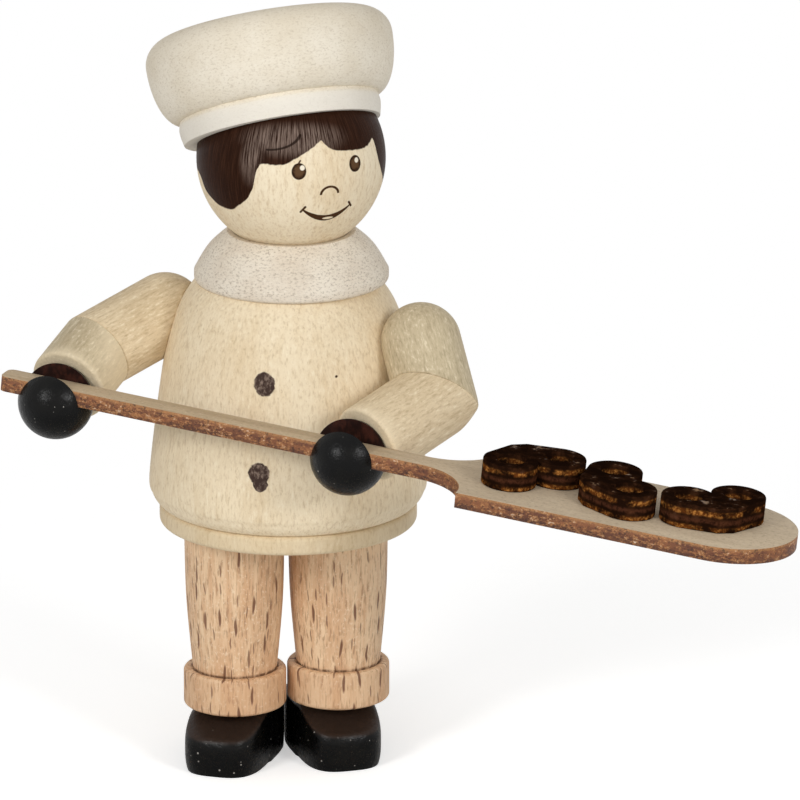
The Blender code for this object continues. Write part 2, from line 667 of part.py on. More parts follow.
def peel_outline():
    """Return the peel's outline: slim handle, hollow shoulders, straight sides and a round end."""
    half_handle = HANDLE_WIDTH / 2.0
    half_blade = BLADE_WIDTH / 2.0
    hollow = half_blade - half_handle
    blade_end = BLADE_START + BLADE_STRAIGHT
    near_shoulder = arc((BLADE_START - hollow, -half_blade), hollow, math.pi / 2, 0.0, BLADE_ARC_STEPS // 2)
    round_end = arc((blade_end, 0.0), half_blade, -math.pi / 2, math.pi / 2, BLADE_ARC_STEPS)
    far_shoulder = [(x, -y) for x, y in reversed(near_shoulder)]
    corner_x, corner_y = -HANDLE_END + HANDLE_CORNER, half_handle - HANDLE_CORNER
    far_corner = arc((corner_x, corner_y), HANDLE_CORNER, math.pi / 2, math.pi, HANDLE_CORNER_STEPS)
    near_corner = [(x, -y) for x, y in reversed(far_corner)]
    return [*near_shoulder, *round_end, *far_shoulder, *far_corner, *near_corner]


def pretzel_splines():
    """Return a pretzel's outline and its loop holes. Its tail points to +X."""
    half_space = LOOP_RADIUS - LOOP_OVERLAP / 2.0
    tail = Vector((TAIL_REACH * LOOP_RADIUS, TAIL_WIDTH / 2.0))
    loop = Vector((0.0, half_space))
    to_tail = tail - loop
    tangent = math.atan2(to_tail.y, to_tail.x) + math.acos(LOOP_RADIUS / to_tail.length)
    notch = 1.5 * math.pi - math.acos(half_space / LOOP_RADIUS)
    far_loop = arc(loop, LOOP_RADIUS, tangent, notch, BLADE_ARC_STEPS)
    near_loop = [(x, -y) for x, y in reversed(far_loop)]
    outline = [tuple(tail), *far_loop, *near_loop[1:], (tail.x, -tail.y)]
    holes = [arc((0.0, sign * half_space), LOOP_RADIUS - LOOP_WALL, 0.0, math.tau, BLADE_ARC_STEPS)[:-1]
             for sign in (1.0, -1.0)]
    return [outline, *holes]


def build_peel(place):
    frame = bpy.data.objects.new("peel_frame", None)
    PARTS.objects.link(frame)
    frame.matrix_world = place
    peel = flat_outline("peel", [peel_outline()], PEEL_THICKNESS, BIRCH_PLY, place)
    peel.parent = frame
    peel.matrix_parent_inverse = place.inverted()
    lift = PEEL_THICKNESS / 2.0 + GLUE_GAP + PRETZEL_THICKNESS / 2.0
    for number, (along, across, points_to) in enumerate(PRETZEL_PLACES, start=1):
        spot = Matrix.Translation((BLADE_START + along * LOOP_RADIUS, across * LOOP_RADIUS, lift))
        spot = spot @ Matrix.Rotation(points_to, 4, "Z")
        pretzel = flat_outline(f"pretzel_{number}", pretzel_splines(), PRETZEL_THICKNESS, BURNT_PLY,
                               place @ spot)
        pretzel.parent = frame
        pretzel.matrix_parent_inverse = place.inverted()


def main():
    torso = turned_part("torso", TORSO_PROFILE, BARE_MAPLE, place_on_axis(), TURN_STEPS)
    torso_room = turned_cutter("torso_room", grown(TORSO_PROFILE, GLUE_GAP), place_on_axis(), TURN_STEPS)
    build_legs_and_shoes(torso)
    build_head_and_hat(torso)
    peel = peel_place()
    for side in ("right", "left"):
        build_arm(side, torso, torso_room, peel)
    build_peel(peel)
    bpy.context.view_layer.update()


main()
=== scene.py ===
"""Looks of the miniature baker: turned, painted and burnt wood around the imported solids."""

import math
from collections import namedtuple

import bmesh
import bpy
from mathutils import Matrix, Vector


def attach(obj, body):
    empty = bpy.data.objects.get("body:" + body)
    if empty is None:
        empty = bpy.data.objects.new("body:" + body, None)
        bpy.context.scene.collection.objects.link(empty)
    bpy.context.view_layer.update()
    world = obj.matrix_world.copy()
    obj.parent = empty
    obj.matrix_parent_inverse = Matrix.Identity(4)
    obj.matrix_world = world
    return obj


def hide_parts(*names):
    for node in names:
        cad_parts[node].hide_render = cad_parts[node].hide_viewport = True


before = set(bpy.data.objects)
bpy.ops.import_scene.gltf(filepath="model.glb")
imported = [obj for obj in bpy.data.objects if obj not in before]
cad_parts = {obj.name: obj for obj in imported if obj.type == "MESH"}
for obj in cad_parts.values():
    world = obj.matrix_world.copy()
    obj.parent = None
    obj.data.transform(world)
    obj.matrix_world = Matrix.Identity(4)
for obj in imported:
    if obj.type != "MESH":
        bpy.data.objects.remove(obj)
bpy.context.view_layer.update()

MM = 0.001
PER_MM = (1.0 / MM, 1.0 / MM, 1.0 / MM)
STRAIGHT = (0.0, 0.0, 0.0)
QUARTER = math.pi / 2.0
UP = Vector((0.0, 0.0, 1.0))
BODY = "root"

# Glue lines of the solids, and how far the finer curves here keep inside them
GLUE_GAP = 0.15 * MM
EASE = 0.03 * MM

# Fineness of the meshes, and the radius of the lathe's spindle
WELD = 0.0005 * MM
TURN_FACETS = 144
HEAD_FACETS = 192
SMALL_FACETS = 96
SPINDLE = 10.0 * MM

# Stance, legs and shoes
LEG_SPACING = 8.0 * MM
STANCE_STAGGER = 1.6 * MM
HIP_SHIFT = 0.17 * MM
LEFT_FOOT = Vector((0.0, 0.0, 0.0))
RIGHT_FOOT = Vector((-math.sqrt(LEG_SPACING ** 2 - STANCE_STAGGER ** 2), -STANCE_STAGGER, 0.0))
AXIS = (LEFT_FOOT + RIGHT_FOOT) / 2.0 + Vector((HIP_SHIFT, 0.0, 0.0))
TOE_OUT = math.radians(17.0)
SHOE_WIDTH = 6.08 * MM
SHOE_HEIGHT = 4.5 * MM
TOE_REACH = 4.7 * MM
HEEL_REACH = 6.2 * MM
TOE_DROP = 1.3 * MM
TOE_POWER = 3.2
HEEL_POWER = 3.6
TOE_LEAN = 0.05
HEEL_LEAN = 0.015
SHOE_CROWN = 0.1
SHOE_CUTS = 31
LEG_TOP_RADIUS = 3.8 * MM
KNEE_RADIUS = 3.68 * MM
ANKLE_RADIUS = 3.2 * MM
LEG_FOOT_RADIUS = 3.3 * MM
TURN_UP_RADIUS = 3.9 * MM
TURN_UP_HEIGHT = 2.9 * MM
TURN_UP_ROUND = 0.3 * MM
# Crease above the turn-up: steps out from the ankle and up from the turn-up's top, in mm
CREASE = ((0.0, 0.05), (-0.06, -0.1), (0.06, -0.02), (0.12, 0.0))

# Torso: radius and height over the hem in mm, at neck, yoke, chest, belly, flare and groove lip
TORSO_SIDE = ((6.9, 18.9), (8.3, 16.6), (9.35, 12.7), (10.45, 4.2), (10.31, 2.445), (9.75, 1.635))
HEM_GROOVE = ((9.5, 1.53), (9.47, 1.49))
HEM_Z = 19.0 * MM
HEM_RADIUS = 9.75 * MM
HEM_HEIGHT = 1.5 * MM
HEM_ROUND = 0.4 * MM
TORSO_TOP_Z = HEM_Z + TORSO_SIDE[0][1] * MM

# Collar and head
HEAD_RADIUS = 7.1 * MM
SEAT_RADIUS = HEAD_RADIUS + GLUE_GAP
COLLAR_RADIUS = 7.33 * MM
COLLAR_EDGE = 0.75 * MM
COLLAR_HEIGHT = 3.8 * MM
COLLAR_SWELL = 0.2 * MM
COLLAR_ROUND = 0.3 * MM
CHIN_ANGLE = math.radians(51.2)
CHIN_LIP = 0.3 * MM
NECK_SHIFT = 0.3 * MM
NECK = AXIS + Vector((NECK_SHIFT, 0.0, 0.0))
HEAD = NECK + UP * (TORSO_TOP_Z + COLLAR_HEIGHT + SEAT_RADIUS * math.sin(CHIN_ANGLE))
HEAD_TURN = math.radians(22.5)

# Hat
HAT_TILT = math.radians(25.0)
HAT_TURN = Matrix.Rotation(HEAD_TURN, 4, "Z") @ Matrix.Rotation(-HAT_TILT, 4, "X")
HAT_SHIFT = 0.35 * MM
HAT_ANGLE = math.radians(16.4)
BAND_LIP = 0.45 * MM
BAND_SWELL = 0.23 * MM
BAND_HEIGHT = 1.75 * MM
BAND_BULGE_SHARE = 0.4
BAND_WAIST_SHARE = 0.41
BRIM_SWELL = 0.06 * MM
BRIM_ROUND = 0.1 * MM
CROWN_OVERHANG = 1.75 * MM
CROWN_HEIGHT = 6.65 * MM
CROWN_CORNER = 1.9 * MM
CROWN_RISE = 0.3 * MM

# Arms and hands
ARM_RADIUS = 3.02 * MM
ELBOW_SANDING = 0.35 * MM
ELBOW_SOFTNESS = 0.75 * MM
ELBOW_CHAMFER = 0.07 * MM
TORSO_CONTACT = 0.01 * MM
CUFF_ROUND = 0.3 * MM
HAND_RADIUS = 2.85 * MM
HAND_REACH = 2.0 * MM
SLOT_SET_FORWARD = 0.5 * MM
SLOT_LENGTH = 10.0 * MM
SLOT_TOP = 8.0 * MM

# Peel
PEEL_TURN = math.radians(19.4)
PEEL_SLOPE = math.radians(6.1)
PEEL_STANDOFF = 12.375 * MM
PEEL_Z = 29.7 * MM
PEEL_THICKNESS = 1.15 * MM
PEEL_ROUND = 0.06 * MM
HANDLE_WIDTH = 2.05 * MM
HANDLE_END = 18.18 * MM
HANDLE_CORNER = 0.55 * MM
BLADE_START = 19.6 * MM
BLADE_STRAIGHT = 18.99 * MM
BLADE_WIDTH = 10.9 * MM

# Pretzels, with their places along and across the blade in loop radii and the way each tail points
PRETZEL_THICKNESS = 1.95 * MM
PRETZEL_ROUND = 0.12 * MM
LOOP_RADIUS = 2.04 * MM
LOOP_OVERLAP = 0.2 * MM
LOOP_WALL = 0.93 * MM
LOOP_SET = LOOP_RADIUS - LOOP_OVERLAP / 2.0
HOLE_RADIUS = LOOP_RADIUS - LOOP_WALL
TAIL_WIDTH = 1.3 * MM
TAIL_REACH = 1.5
PRETZEL_PLACES = ((1.99, 0.08, 132.0), (5.41, -0.17, 214.0), (8.77, 0.13, -52.0))

# Painted buttons: middle across and up, half width and half height, in mm
BUTTONS = (((-5.38, 32.25), (0.80, 0.90)), ((-5.81, 25.55), (0.80, 0.84)))
# Runs of paint under the lower button: start, end and half width
RUNS = (
    ((-5.78, 25.2), (-5.72, 24.72), 0.52),
    ((-5.72, 24.8), (-5.66, 24.38), 0.17),
    ((-5.45, 25.2), (-5.26, 24.75), 0.14),
)
SPECK = (-0.03, 32.66)

# Paint on the head: longitude and latitude in degrees, face forward, figure's right negative
HAIR_EDGE = (
    (-110.0, -5.5), (-99.0, -6.0), (-88.0, -17.0), (-69.0, -23.0), (-56.0, -17.6), (-46.2, -6.6),
    (-42.4, 7.4), (-39.5, 10.3), (-30.0, 9.8), (-20.0, 13.4), (-1.8, 23.9), (6.0, 17.6), (16.0, 15.8),
    (29.0, 14.7), (42.6, 18.4), (45.7, 2.5), (60.0, -13.0), (80.0, -23.3), (93.0, -18.6), (103.0, -7.0),
    (110.0, -5.5),
)
HAIR_PARTINGS = (-1.8, 42.6)
HAIR_SPAN = 110.0
LATITUDE_SPAN = 40.0
NAPE = (112.0, 150.0)
NAPE_DROP = 13.0
TOP_SHEEN = ((-20.0, 25.0), (40.0, 12.0))
SIDE_SHEEN = ((-47.0, 12.0), (9.0, 18.0))
CURL = ((-37.0, 31.0), (22.0, 12.2))
# Each eye's middle, radii and glint
EYES = (((-17.1, 6.1), (4.5, 5.15), (-15.0, 8.2)), ((20.7, 7.0), (4.65, 5.15), (22.0, 8.9)))
GLINT_RADII = (1.55, 1.65)
LASH = ((-17.2, 11.0), (-16.2, 12.5))
NOSE = ((2.3, -9.5), (5.75, 4.85))
MOUTH_MIDDLE = 2.15
MOUTH_REACH = 16.6
MOUTH_LOW = -26.2
MOUTH_RISE = 7.2
LIP_THICKNESS = 1.45
MOUTH_CORNERS = (((-13.0, -17.0), (-15.8, -20.3)), ((17.2, -16.9), (19.8, -20.0)))
MOUTH_OPENING = ((3.4, -26.5), (4.3, 0.95))

# Stage
AMBIENT = 0.4
FLOOR_RADIUS = 0.6
FLOOR_COLOUR = (0.96, 0.96, 0.955, 1.0)
FLOOR_LIFT = 0.44
FLOOR_MIDDLE = (5.0, -5.0)
FLOOR_FADE = (90.0, 32.0)
VIEW_TARGET = AXIS + Vector((8.46, 0.0, 28.35)) * MM
CAMERA_TILT = math.radians(16.5)
CAMERA_DISTANCE = 0.7
CAMERA_SENSOR = 36.0
CAMERA_CLIP = 0.01
PICTURE_WIDTH = 60.4 * MM
LAMP_DISTANCE = 0.5


def srgb(red, green, blue):
    """Return a linear colour from 0 to 255 screen values."""
    channels = (value / 255.0 for value in (red, green, blue))
    return (*((c / 12.92 if c <= 0.04045 else ((c + 0.055) / 1.055) ** 2.4) for c in channels), 1.0)


# Colours are 0 to 255 screen values: light, middle and dark tones of each maple
PALE_MAPLE = ((239, 222, 191), (228, 207, 172), (190, 163, 124))
FACE_MAPLE = ((246, 231, 202), (236, 216, 182), (198, 169, 128))
WARM_MAPLE = ((225, 205, 171), (209, 187, 151), (168, 142, 107))
GREY_MAPLE = ((206, 190, 158), (187, 170, 139), (148, 130, 100))
# Light and middle tones of each wash, and its specks
COLLAR_WASH = ((233, 223, 206), (222, 209, 190), (162, 145, 126))
HAT_WASH = ((241, 232, 214), (232, 221, 200), (184, 167, 141))


# A leg and shoe: place, turn of the toes, the shoe's shift across and the drift of the grain
Foot = namedtuple("Foot", "side place turn outset drift")
FEET = (
    Foot("left", LEFT_FOOT, TOE_OUT, -0.29 * MM, 3.0),
    Foot("right", RIGHT_FOOT, -TOE_OUT, -0.26 * MM, 11.0),
)

# An arm: shoulder on the torso, elbow seen from it, grip on the handle, the maple of its two dowels, and the
# share of painted light on its forearm's side towards +X
Arm = namedtuple("Arm", "side outward shoulder_turn shoulder_height standoff elbow_way grip slot_rise "
                        "upper_tones lower_tones bleached")
ARMS = (
    Arm("right", -1.0, math.radians(14.0), 15.6 * MM, 0.9 * MM, Vector((-5.1, -3.2, -2.1)) * MM,
        -14.1 * MM, 0.3 * MM, WARM_MAPLE, GREY_MAPLE, 0.55),
    Arm("left", 1.0, math.radians(26.0), 15.3 * MM, 2.4 * MM, Vector((1.1, -2.6, -3.62)) * MM,
        9.2 * MM, -0.15 * MM, GREY_MAPLE, WARM_MAPLE, 0.0),
)

# A square lamp: direction in degrees, power, size, and whether gloss mirrors it
Softbox = namedtuple("Softbox", "name azimuth elevation power size mirrored")
SOFTBOXES = (
    Softbox("softbox_left", -38.0, 27.0, 0.75, 0.12, True),
    Softbox("softbox_right", 38.0, 25.0, 0.68, 0.12, True),
    Softbox("front_fill", 0.0, 12.0, 0.4, 0.35, False),
)


def operator(operation, swapped=False):
    """Return a Python operator that adds a maths node."""
    def joined(self, other):
        return self.graph.maths(operation, *((other, self) if swapped else (self, other)))
    return joined


class Value:
    """A node's output that takes part in Python expressions."""

    def __init__(self, graph, socket):
        self.graph = graph
        self.socket = socket

    def out(self, key):
        return Value(self.graph, self.socket.node.outputs[key])

    def __neg__(self):
        return self * -1.0

    def __abs__(self):
        return self.graph.maths("ABSOLUTE", self)

    __add__ = __radd__ = operator("ADD")
    __mul__ = __rmul__ = operator("MULTIPLY")
    __sub__, __rsub__ = operator("SUBTRACT"), operator("SUBTRACT", swapped=True)
    __truediv__, __rtruediv__ = operator("DIVIDE"), operator("DIVIDE", swapped=True)


class Graph:
    """A node tree that is filled from Python."""

    def __init__(self, tree):
        self.tree = tree

    def node(self, kind, settings=None, sockets=None, output=0):
        """Add a node. The setting "curve" takes points of x, y and handle type."""
        made = self.tree.nodes.new(kind)
        for name, value in (settings or {}).items():
            if name == "curve":
                points = made.mapping.curves[0].points
                while len(points) < len(value):
                    points.new(1.0, 1.0)
                for point, (x, y, handle) in zip(points, value):
                    point.location = (x, y)
                    point.handle_type = handle
                made.mapping.update()
            else:
                setattr(made, name, value)
        for key, value in (sockets or {}).items():
            self.feed(made.inputs[key], value)
        return Value(self, made.outputs[output])

    def feed(self, socket, value):
        if isinstance(value, Value):
            self.tree.links.new(value.socket, socket)
        else:
            socket.default_value = value

    def maths(self, operation, *values):
        return self.node("ShaderNodeMath", {"operation": operation}, dict(enumerate(values)))

    def least(self, first, *others):
        for other in others:
            first = self.maths("MINIMUM", first, other)
        return first

    def most(self, first, *others):
        for other in others:
            first = self.maths("MAXIMUM", first, other)
        return first


class Finish(Graph):
    """A wood or paint finish on a Principled surface."""

    def __init__(self, name, **constants):
        self.material = bpy.data.materials.new(name)
        self.material.use_nodes = True
        super().__init__(self.material.node_tree)
        self.surface = self.tree.nodes["Principled BSDF"]
        for socket, value in constants.items():
            self.surface.inputs[socket.replace("_", " ")].default_value = value
        self.place = self.node("ShaderNodeTexCoord", output="Object")

    def turned(self, scale, turn=STRAIGHT, origin=STRAIGHT):
        """Return the object coordinates, seen from a turned origin and then stretched."""
        turned = self.node("ShaderNodeMapping", {"vector_type": "TEXTURE"},
                           {"Vector": self.place, "Rotation": turn, "Location": origin})
        return self.node("ShaderNodeVectorMath", {"operation": "MULTIPLY"}, {0: turned, 1: scale})

    def in_mm(self, turn=STRAIGHT, origin=STRAIGHT):
        """Return X, Y and Z in mm, seen from a turned origin."""
        return self.parts(self.turned(PER_MM, turn, origin))

    def noise(self, vector, detail, roughness):
        return self.node("ShaderNodeTexNoise", None, {
            "Vector": vector, "Scale": 1.0, "Detail": detail, "Roughness": roughness})

    def grain(self, across, along, detail=3.0, roughness=0.5, turn=STRAIGHT, origin=STRAIGHT):
        """Return noise with its own count of waves to the metre across and along the turned Z axis."""
        return self.noise(self.turned((across, across, along), turn, origin), detail, roughness)

    def cells(self, scale):
        """Return the distance to the nearest of many scattered points, and that point's chances."""
        cell = self.node("ShaderNodeTexVoronoi", None, {"Vector": self.turned(PER_MM), "Scale": scale})
        return cell, self.parts(cell.out("Color"))

    def smooth(self, value, low, high):
        return self.node("ShaderNodeMapRange", {"interpolation_type": "SMOOTHSTEP"},
                         {"Value": value, "From Min": low, "From Max": high})

    def mix(self, first, second, factor):
        """Return a blend of two colours, each a node's value or a screen colour."""
        first, second = (tone if isinstance(tone, Value) else srgb(*tone) for tone in (first, second))
        return self.node("ShaderNodeMix", {"data_type": "RGBA"}, {0: factor, 6: first, 7: second}, 2)

    def layered(self, colour, *layers):
        """Return a colour under further layers, each a tone, a value, its bounds and an amount."""
        for tone, value, low, high, amount in layers:
            colour = self.mix(colour, tone, self.smooth(value, low, high) * amount)
        return colour

    def parts(self, vector):
        split = self.node("ShaderNodeSeparateXYZ", None, {0: vector})
        return split, split.out(1), split.out(2)

    def length(self, x, y):
        return self.maths("SQRT", x * x + y * y)

    def oval(self, x, y, middle, radii):
        """Return 1 on the edge of an oval and less inside it."""
        return self.length((x - middle[0]) / radii[0], (y - middle[1]) / radii[1])

    def stroke(self, x, y, start, end):
        """Return the distance from a straight brush stroke between two points."""
        way = (end[0] - start[0], end[1] - start[1])
        size = way[0] ** 2 + way[1] ** 2
        along = ((x - start[0]) * way[0] + (y - start[1]) * way[1]) / size
        along = self.most(self.least(along, 1.0), 0.0)
        return self.length(x - start[0] - along * way[0], y - start[1] - along * way[1])

    def made(self, colour, roughness, relief, depth=0.02 * MM, coat=0.0):
        """Feed the surface and return the material."""
        bump = self.node("ShaderNodeBump", None, {"Strength": 1.0, "Distance": depth, "Height": relief})
        fed = {"Base Color": colour, "Roughness": roughness, "Coat Weight": coat, "Normal": bump}
        for socket, value in fed.items():
            self.feed(self.surface.inputs[socket], value)
        return self.material


def bare_maple(finish, tones, turn=STRAIGHT, origin=STRAIGHT):
    """Return colour, roughness and relief of waxed maple whose grain runs along the turned Z axis."""
    light, middle, dark = tones
    broad = finish.grain(220.0, 90.0, 3.0, 0.5, turn, origin)
    streak = finish.grain(1500.0, 90.0, 3.0, 0.6, turn, origin)
    fibre = finish.grain(4600.0, 1250.0, 3.0, 0.65, turn, origin)
    pore = finish.grain(5600.0, 2600.0, 2.0, 0.7, turn, origin)
    colour = finish.layered(
        light,
        (middle, broad + (streak - 0.5) * 0.7, 0.3, 0.8, 1.0),
        (dark, fibre, 0.48, 0.74, 0.5),
        (dark, pore, 0.56, 0.76, 0.4),
        ((250, 238, 212), fibre + (pore - 0.5) * 0.6, 0.46, 0.22, 0.5))
    return colour, 0.48 + pore * 0.2, fibre * 0.6 + streak * 0.4


def upper_arm_maple(name, tones, turn):
    finish = Finish(name, Specular_IOR_Level=0.15)
    return finish.made(*bare_maple(finish, tones, turn, (0.01, 0.02, 0.005)))


def forearm_maple(name, tones, turn, elbow, length, bleached):
    """Maple with painted light: a painted highlight where the cuff is rounded over, and a share of painted
    light on the side towards +X.
    """
    finish = Finish(name, Specular_IOR_Level=0.15)
    colour, roughness, relief = bare_maple(finish, tones, turn, (0.02, 0.0, 0.01))
    along, across = finish.in_mm(turn, elbow)[2], finish.in_mm(origin=elbow)[0]
    # Painted highlight: paler where the cuff is rounded over.
    cuff = finish.smooth(along, length / MM - 1.3, length / MM - 0.2) * 0.42
    # Painted light: the side towards +X is made paler by a share, standing in for the light it catches.
    paler = finish.most(cuff, finish.smooth(across, -1.1, 1.6) * bleached)
    return finish.made(finish.mix(colour, (242, 225, 193), paler), roughness, relief)


def torso_finish():
    """Waxed maple with two hand-painted buttons, and painted shade darkening the hem."""
    finish = Finish("torso_maple", Specular_IOR_Level=0.15)
    colour, roughness, relief = bare_maple(finish, PALE_MAPLE)
    x, y, z = finish.in_mm()
    front = finish.smooth(y, -5.0, -6.0)
    ragged = (finish.grain(3000.0, 3000.0) - 0.5) * 0.35
    patchy = finish.grain(3200.0, 2200.0, 3.0, 0.7)
    brown = finish.layered((60, 43, 36), ((146, 126, 112), patchy, 0.44, 0.76, 1.0))
    buttons = [finish.oval(x, z, middle, radii) for middle, radii in BUTTONS]
    runs = [finish.stroke(x, z, start, end) / wide for start, end, wide in RUNS]
    painted = finish.smooth(finish.least(*buttons, *runs) + ragged, 1.05, 0.93) * front
    # Painted shade: the hem, tucked in under the torso's belly, is darkened.
    colour = finish.layered(colour, ((192, 166, 122), z, 20.75, 20.45, 0.32))
    colour = finish.mix(colour, brown, painted)
    speck = finish.length(x - SPECK[0], z - SPECK[1])
    colour = finish.layered(colour, ((70, 52, 36), speck, 0.13, 0.07, front))
    return finish.made(colour, roughness - painted * 0.12, relief + painted * 1.5)


def hair_mask(finish, lon, lat):
    """Return where hair is painted: above its edge, which drops at the nape."""
    curve = [((a + HAIR_SPAN) / (2.0 * HAIR_SPAN), (b + LATITUDE_SPAN) / (2.0 * LATITUDE_SPAN),
              "VECTOR" if a in HAIR_PARTINGS else "AUTO_CLAMPED") for a, b in HAIR_EDGE]
    front = finish.most(finish.least(lon, HAIR_SPAN), -HAIR_SPAN)
    edge = finish.node("ShaderNodeFloatCurve", {"curve": curve},
                       {"Factor": 1.0, "Value": (front + HAIR_SPAN) / (2.0 * HAIR_SPAN)})
    edge = edge * (2.0 * LATITUDE_SPAN) - LATITUDE_SPAN - finish.smooth(abs(lon), *NAPE) * NAPE_DROP
    return finish.smooth(lat - edge, -0.45, 0.45)


def hair_colour(finish, lon, lat, brushed):
    """Return brown with brush marks, two sheens and a dark curl."""
    sheen = finish.most(finish.smooth(finish.oval(lon, lat, *TOP_SHEEN), 1.1, 0.35),
                        finish.smooth(finish.oval(lon, lat, *SIDE_SHEEN), 1.1, 0.3) * 0.8)
    curl = abs(finish.oval(lon, lat, *CURL) - 1.0) * 14.0
    curl = curl + finish.smooth(lon, -37.5, -39.5) * 3.0 + finish.smooth(lat, 28.0, 30.0) * 3.0
    return finish.layered(
        (40, 21, 12),
        ((62, 38, 26), brushed, 0.4, 0.7, 1.0),
        ((150, 130, 118), brushed, 0.36, 0.66, sheen * 0.85),
        ((30, 17, 11), curl, 1.0, 0.4, 0.85))


def eyes_on(finish, colour, lon, lat, wobble):
    """Return the colour with two brown eyes and their glints painted on it."""
    iris = finish.least(*(finish.oval(lon, lat, middle, radii) for middle, radii, _ in EYES)) + wobble * 0.06
    glint = finish.least(*(finish.oval(lon, lat, spark, GLINT_RADII) for _, _, spark in EYES))
    grainy = finish.grain(5200.0, 5200.0, 2.0, 0.7)
    brown = finish.layered((96, 70, 48), ((48, 31, 20), iris + (grainy - 0.5) * 0.8, 0.45, 0.9, 1.0))
    return finish.layered(colour, (brown, iris, 1.04, 0.94, 1.0), ((246, 236, 215), glint, 1.15, 0.75, 1.0))


def face_lines(finish, lon, lat, wobble):
    """Return where nose, lash and mouth are drawn in."""
    nose = abs(finish.oval(lon, lat, *NOSE) - 1.0) * 5.3 + finish.smooth(lat, -9.3, -10.1) * 4.0
    lash = finish.stroke(lon, lat, *LASH) + 0.25
    bow = (lon - MOUTH_MIDDLE) / MOUTH_REACH
    lip_line = abs(lat - (bow * bow * MOUTH_RISE + MOUTH_LOW))
    thick = (1.0 - finish.least(bow * bow, 1.0)) * LIP_THICKNESS
    lips = lip_line - thick + finish.smooth(abs(bow), 0.98, 1.06) * 4.0
    corners = [finish.stroke(lon, lat, start, end) for start, end in MOUTH_CORNERS]
    ink = finish.smooth(finish.least(nose, lash, lips, *corners) + wobble * 0.25, 0.95, 0.55)
    return ink * finish.smooth(finish.oval(lon, lat, *MOUTH_OPENING), 0.75, 1.05)


def head_finish():
    """Waxed maple with painted hair and face."""
    finish = Finish("head_maple", Specular_IOR_Level=0.03)
    colour, roughness, relief = bare_maple(finish, FACE_MAPLE, origin=(0.03, 0.01, 0.0))
    x, y, z = finish.in_mm((0.0, 0.0, HEAD_TURN), HEAD)
    height = finish.most(finish.least(z / (HEAD_RADIUS / MM), 1.0), -1.0)
    lon = finish.maths("ARCTAN2", x, -y) * math.degrees(1.0)
    lat = finish.maths("ARCSINE", height) * math.degrees(1.0)
    wobble = (finish.grain(2500.0, 2500.0, 2.0) - 0.5) * 1.6
    strands = finish.node("ShaderNodeCombineXYZ", None, {0: lon * 1.1, 1: lat * 0.05})
    brushed = finish.noise(strands, 4.0, 0.7)
    hair = hair_mask(finish, lon, lat + wobble)
    colour = finish.mix(colour, hair_colour(finish, lon, lat, brushed), hair)
    colour = eyes_on(finish, colour, lon, lat, wobble)
    colour = finish.mix(colour, (72, 48, 30), face_lines(finish, lon, lat, wobble))
    gloss = 0.2 - finish.smooth(brushed, 0.35, 0.7) * 0.12
    return finish.made(colour, roughness - hair * gloss, relief + hair * (0.8 + brushed * 0.8))


def whitewash(finish, tones, speckled, turn=STRAIGHT):
    """Return colour, roughness and relief of a thin wash that lets the grain show as fine grey specks."""
    light, middle, specks = tones
    cloud = finish.grain(330.0, 330.0, 3.0, 0.5, turn)
    streak = finish.grain(600.0, 3600.0, 3.0, 0.6, turn)
    speckle = finish.grain(4200.0, 7600.0, 3.0, 0.75, turn)
    colour = finish.layered(
        light,
        (middle, cloud + (streak - 0.5) * 0.3, 0.3, 0.75, 1.0),
        (specks, speckle, 0.49, 0.70, speckled),
        ((247, 241, 229), speckle, 0.42, 0.28, 0.5))
    return colour, 0.62 + speckle * 0.2, speckle * 0.7 + streak * 0.3


def collar_finish():
    finish = Finish("collar_whitewash")
    return finish.made(*whitewash(finish, COLLAR_WASH, 0.78), 0.03 * MM)


def hat_finish():
    """Cream wash, with the band left whiter and painted shade darkening the crown's top."""
    finish = Finish("hat_whitewash")
    turn = tuple(HAT_TURN.to_euler())
    colour, roughness, relief = whitewash(finish, HAT_WASH, 0.46, turn)
    height = finish.in_mm(turn, HEAD)[2]
    # Painted shade darkens the crown's top; the band is left whiter.
    colour = finish.layered(
        colour,
        ((204, 189, 163), height, 6.0, 9.6, 0.3),
        ((236, 231, 221), height, 3.65, 3.35, 0.65))
    return finish.made(colour, roughness, relief, 0.025 * MM)


def flecks(finish, across, up, size, keep, shift):
    """Return upright lens-shaped flecks, one in each kept cell of a scattered grid."""
    spread = finish.node("ShaderNodeCombineXYZ", None, {0: across / size[0] + shift, 1: up / size[1] + shift})
    cell = finish.node("ShaderNodeTexVoronoi", {"voronoi_dimensions": "2D"},
                       {"Vector": spread, "Scale": 1.0, "Randomness": 1.0})
    chance = finish.parts(cell.out("Color"))[0]
    gap = finish.node("ShaderNodeVectorMath", {"operation": "SUBTRACT"}, {0: spread, 1: cell.out("Position")})
    beside, along, _ = finish.parts(gap)
    lens = finish.length(beside / 0.115, along / 0.32)
    return finish.smooth(lens, 1.0, 0.55) * finish.smooth(chance, keep, keep + 0.1)


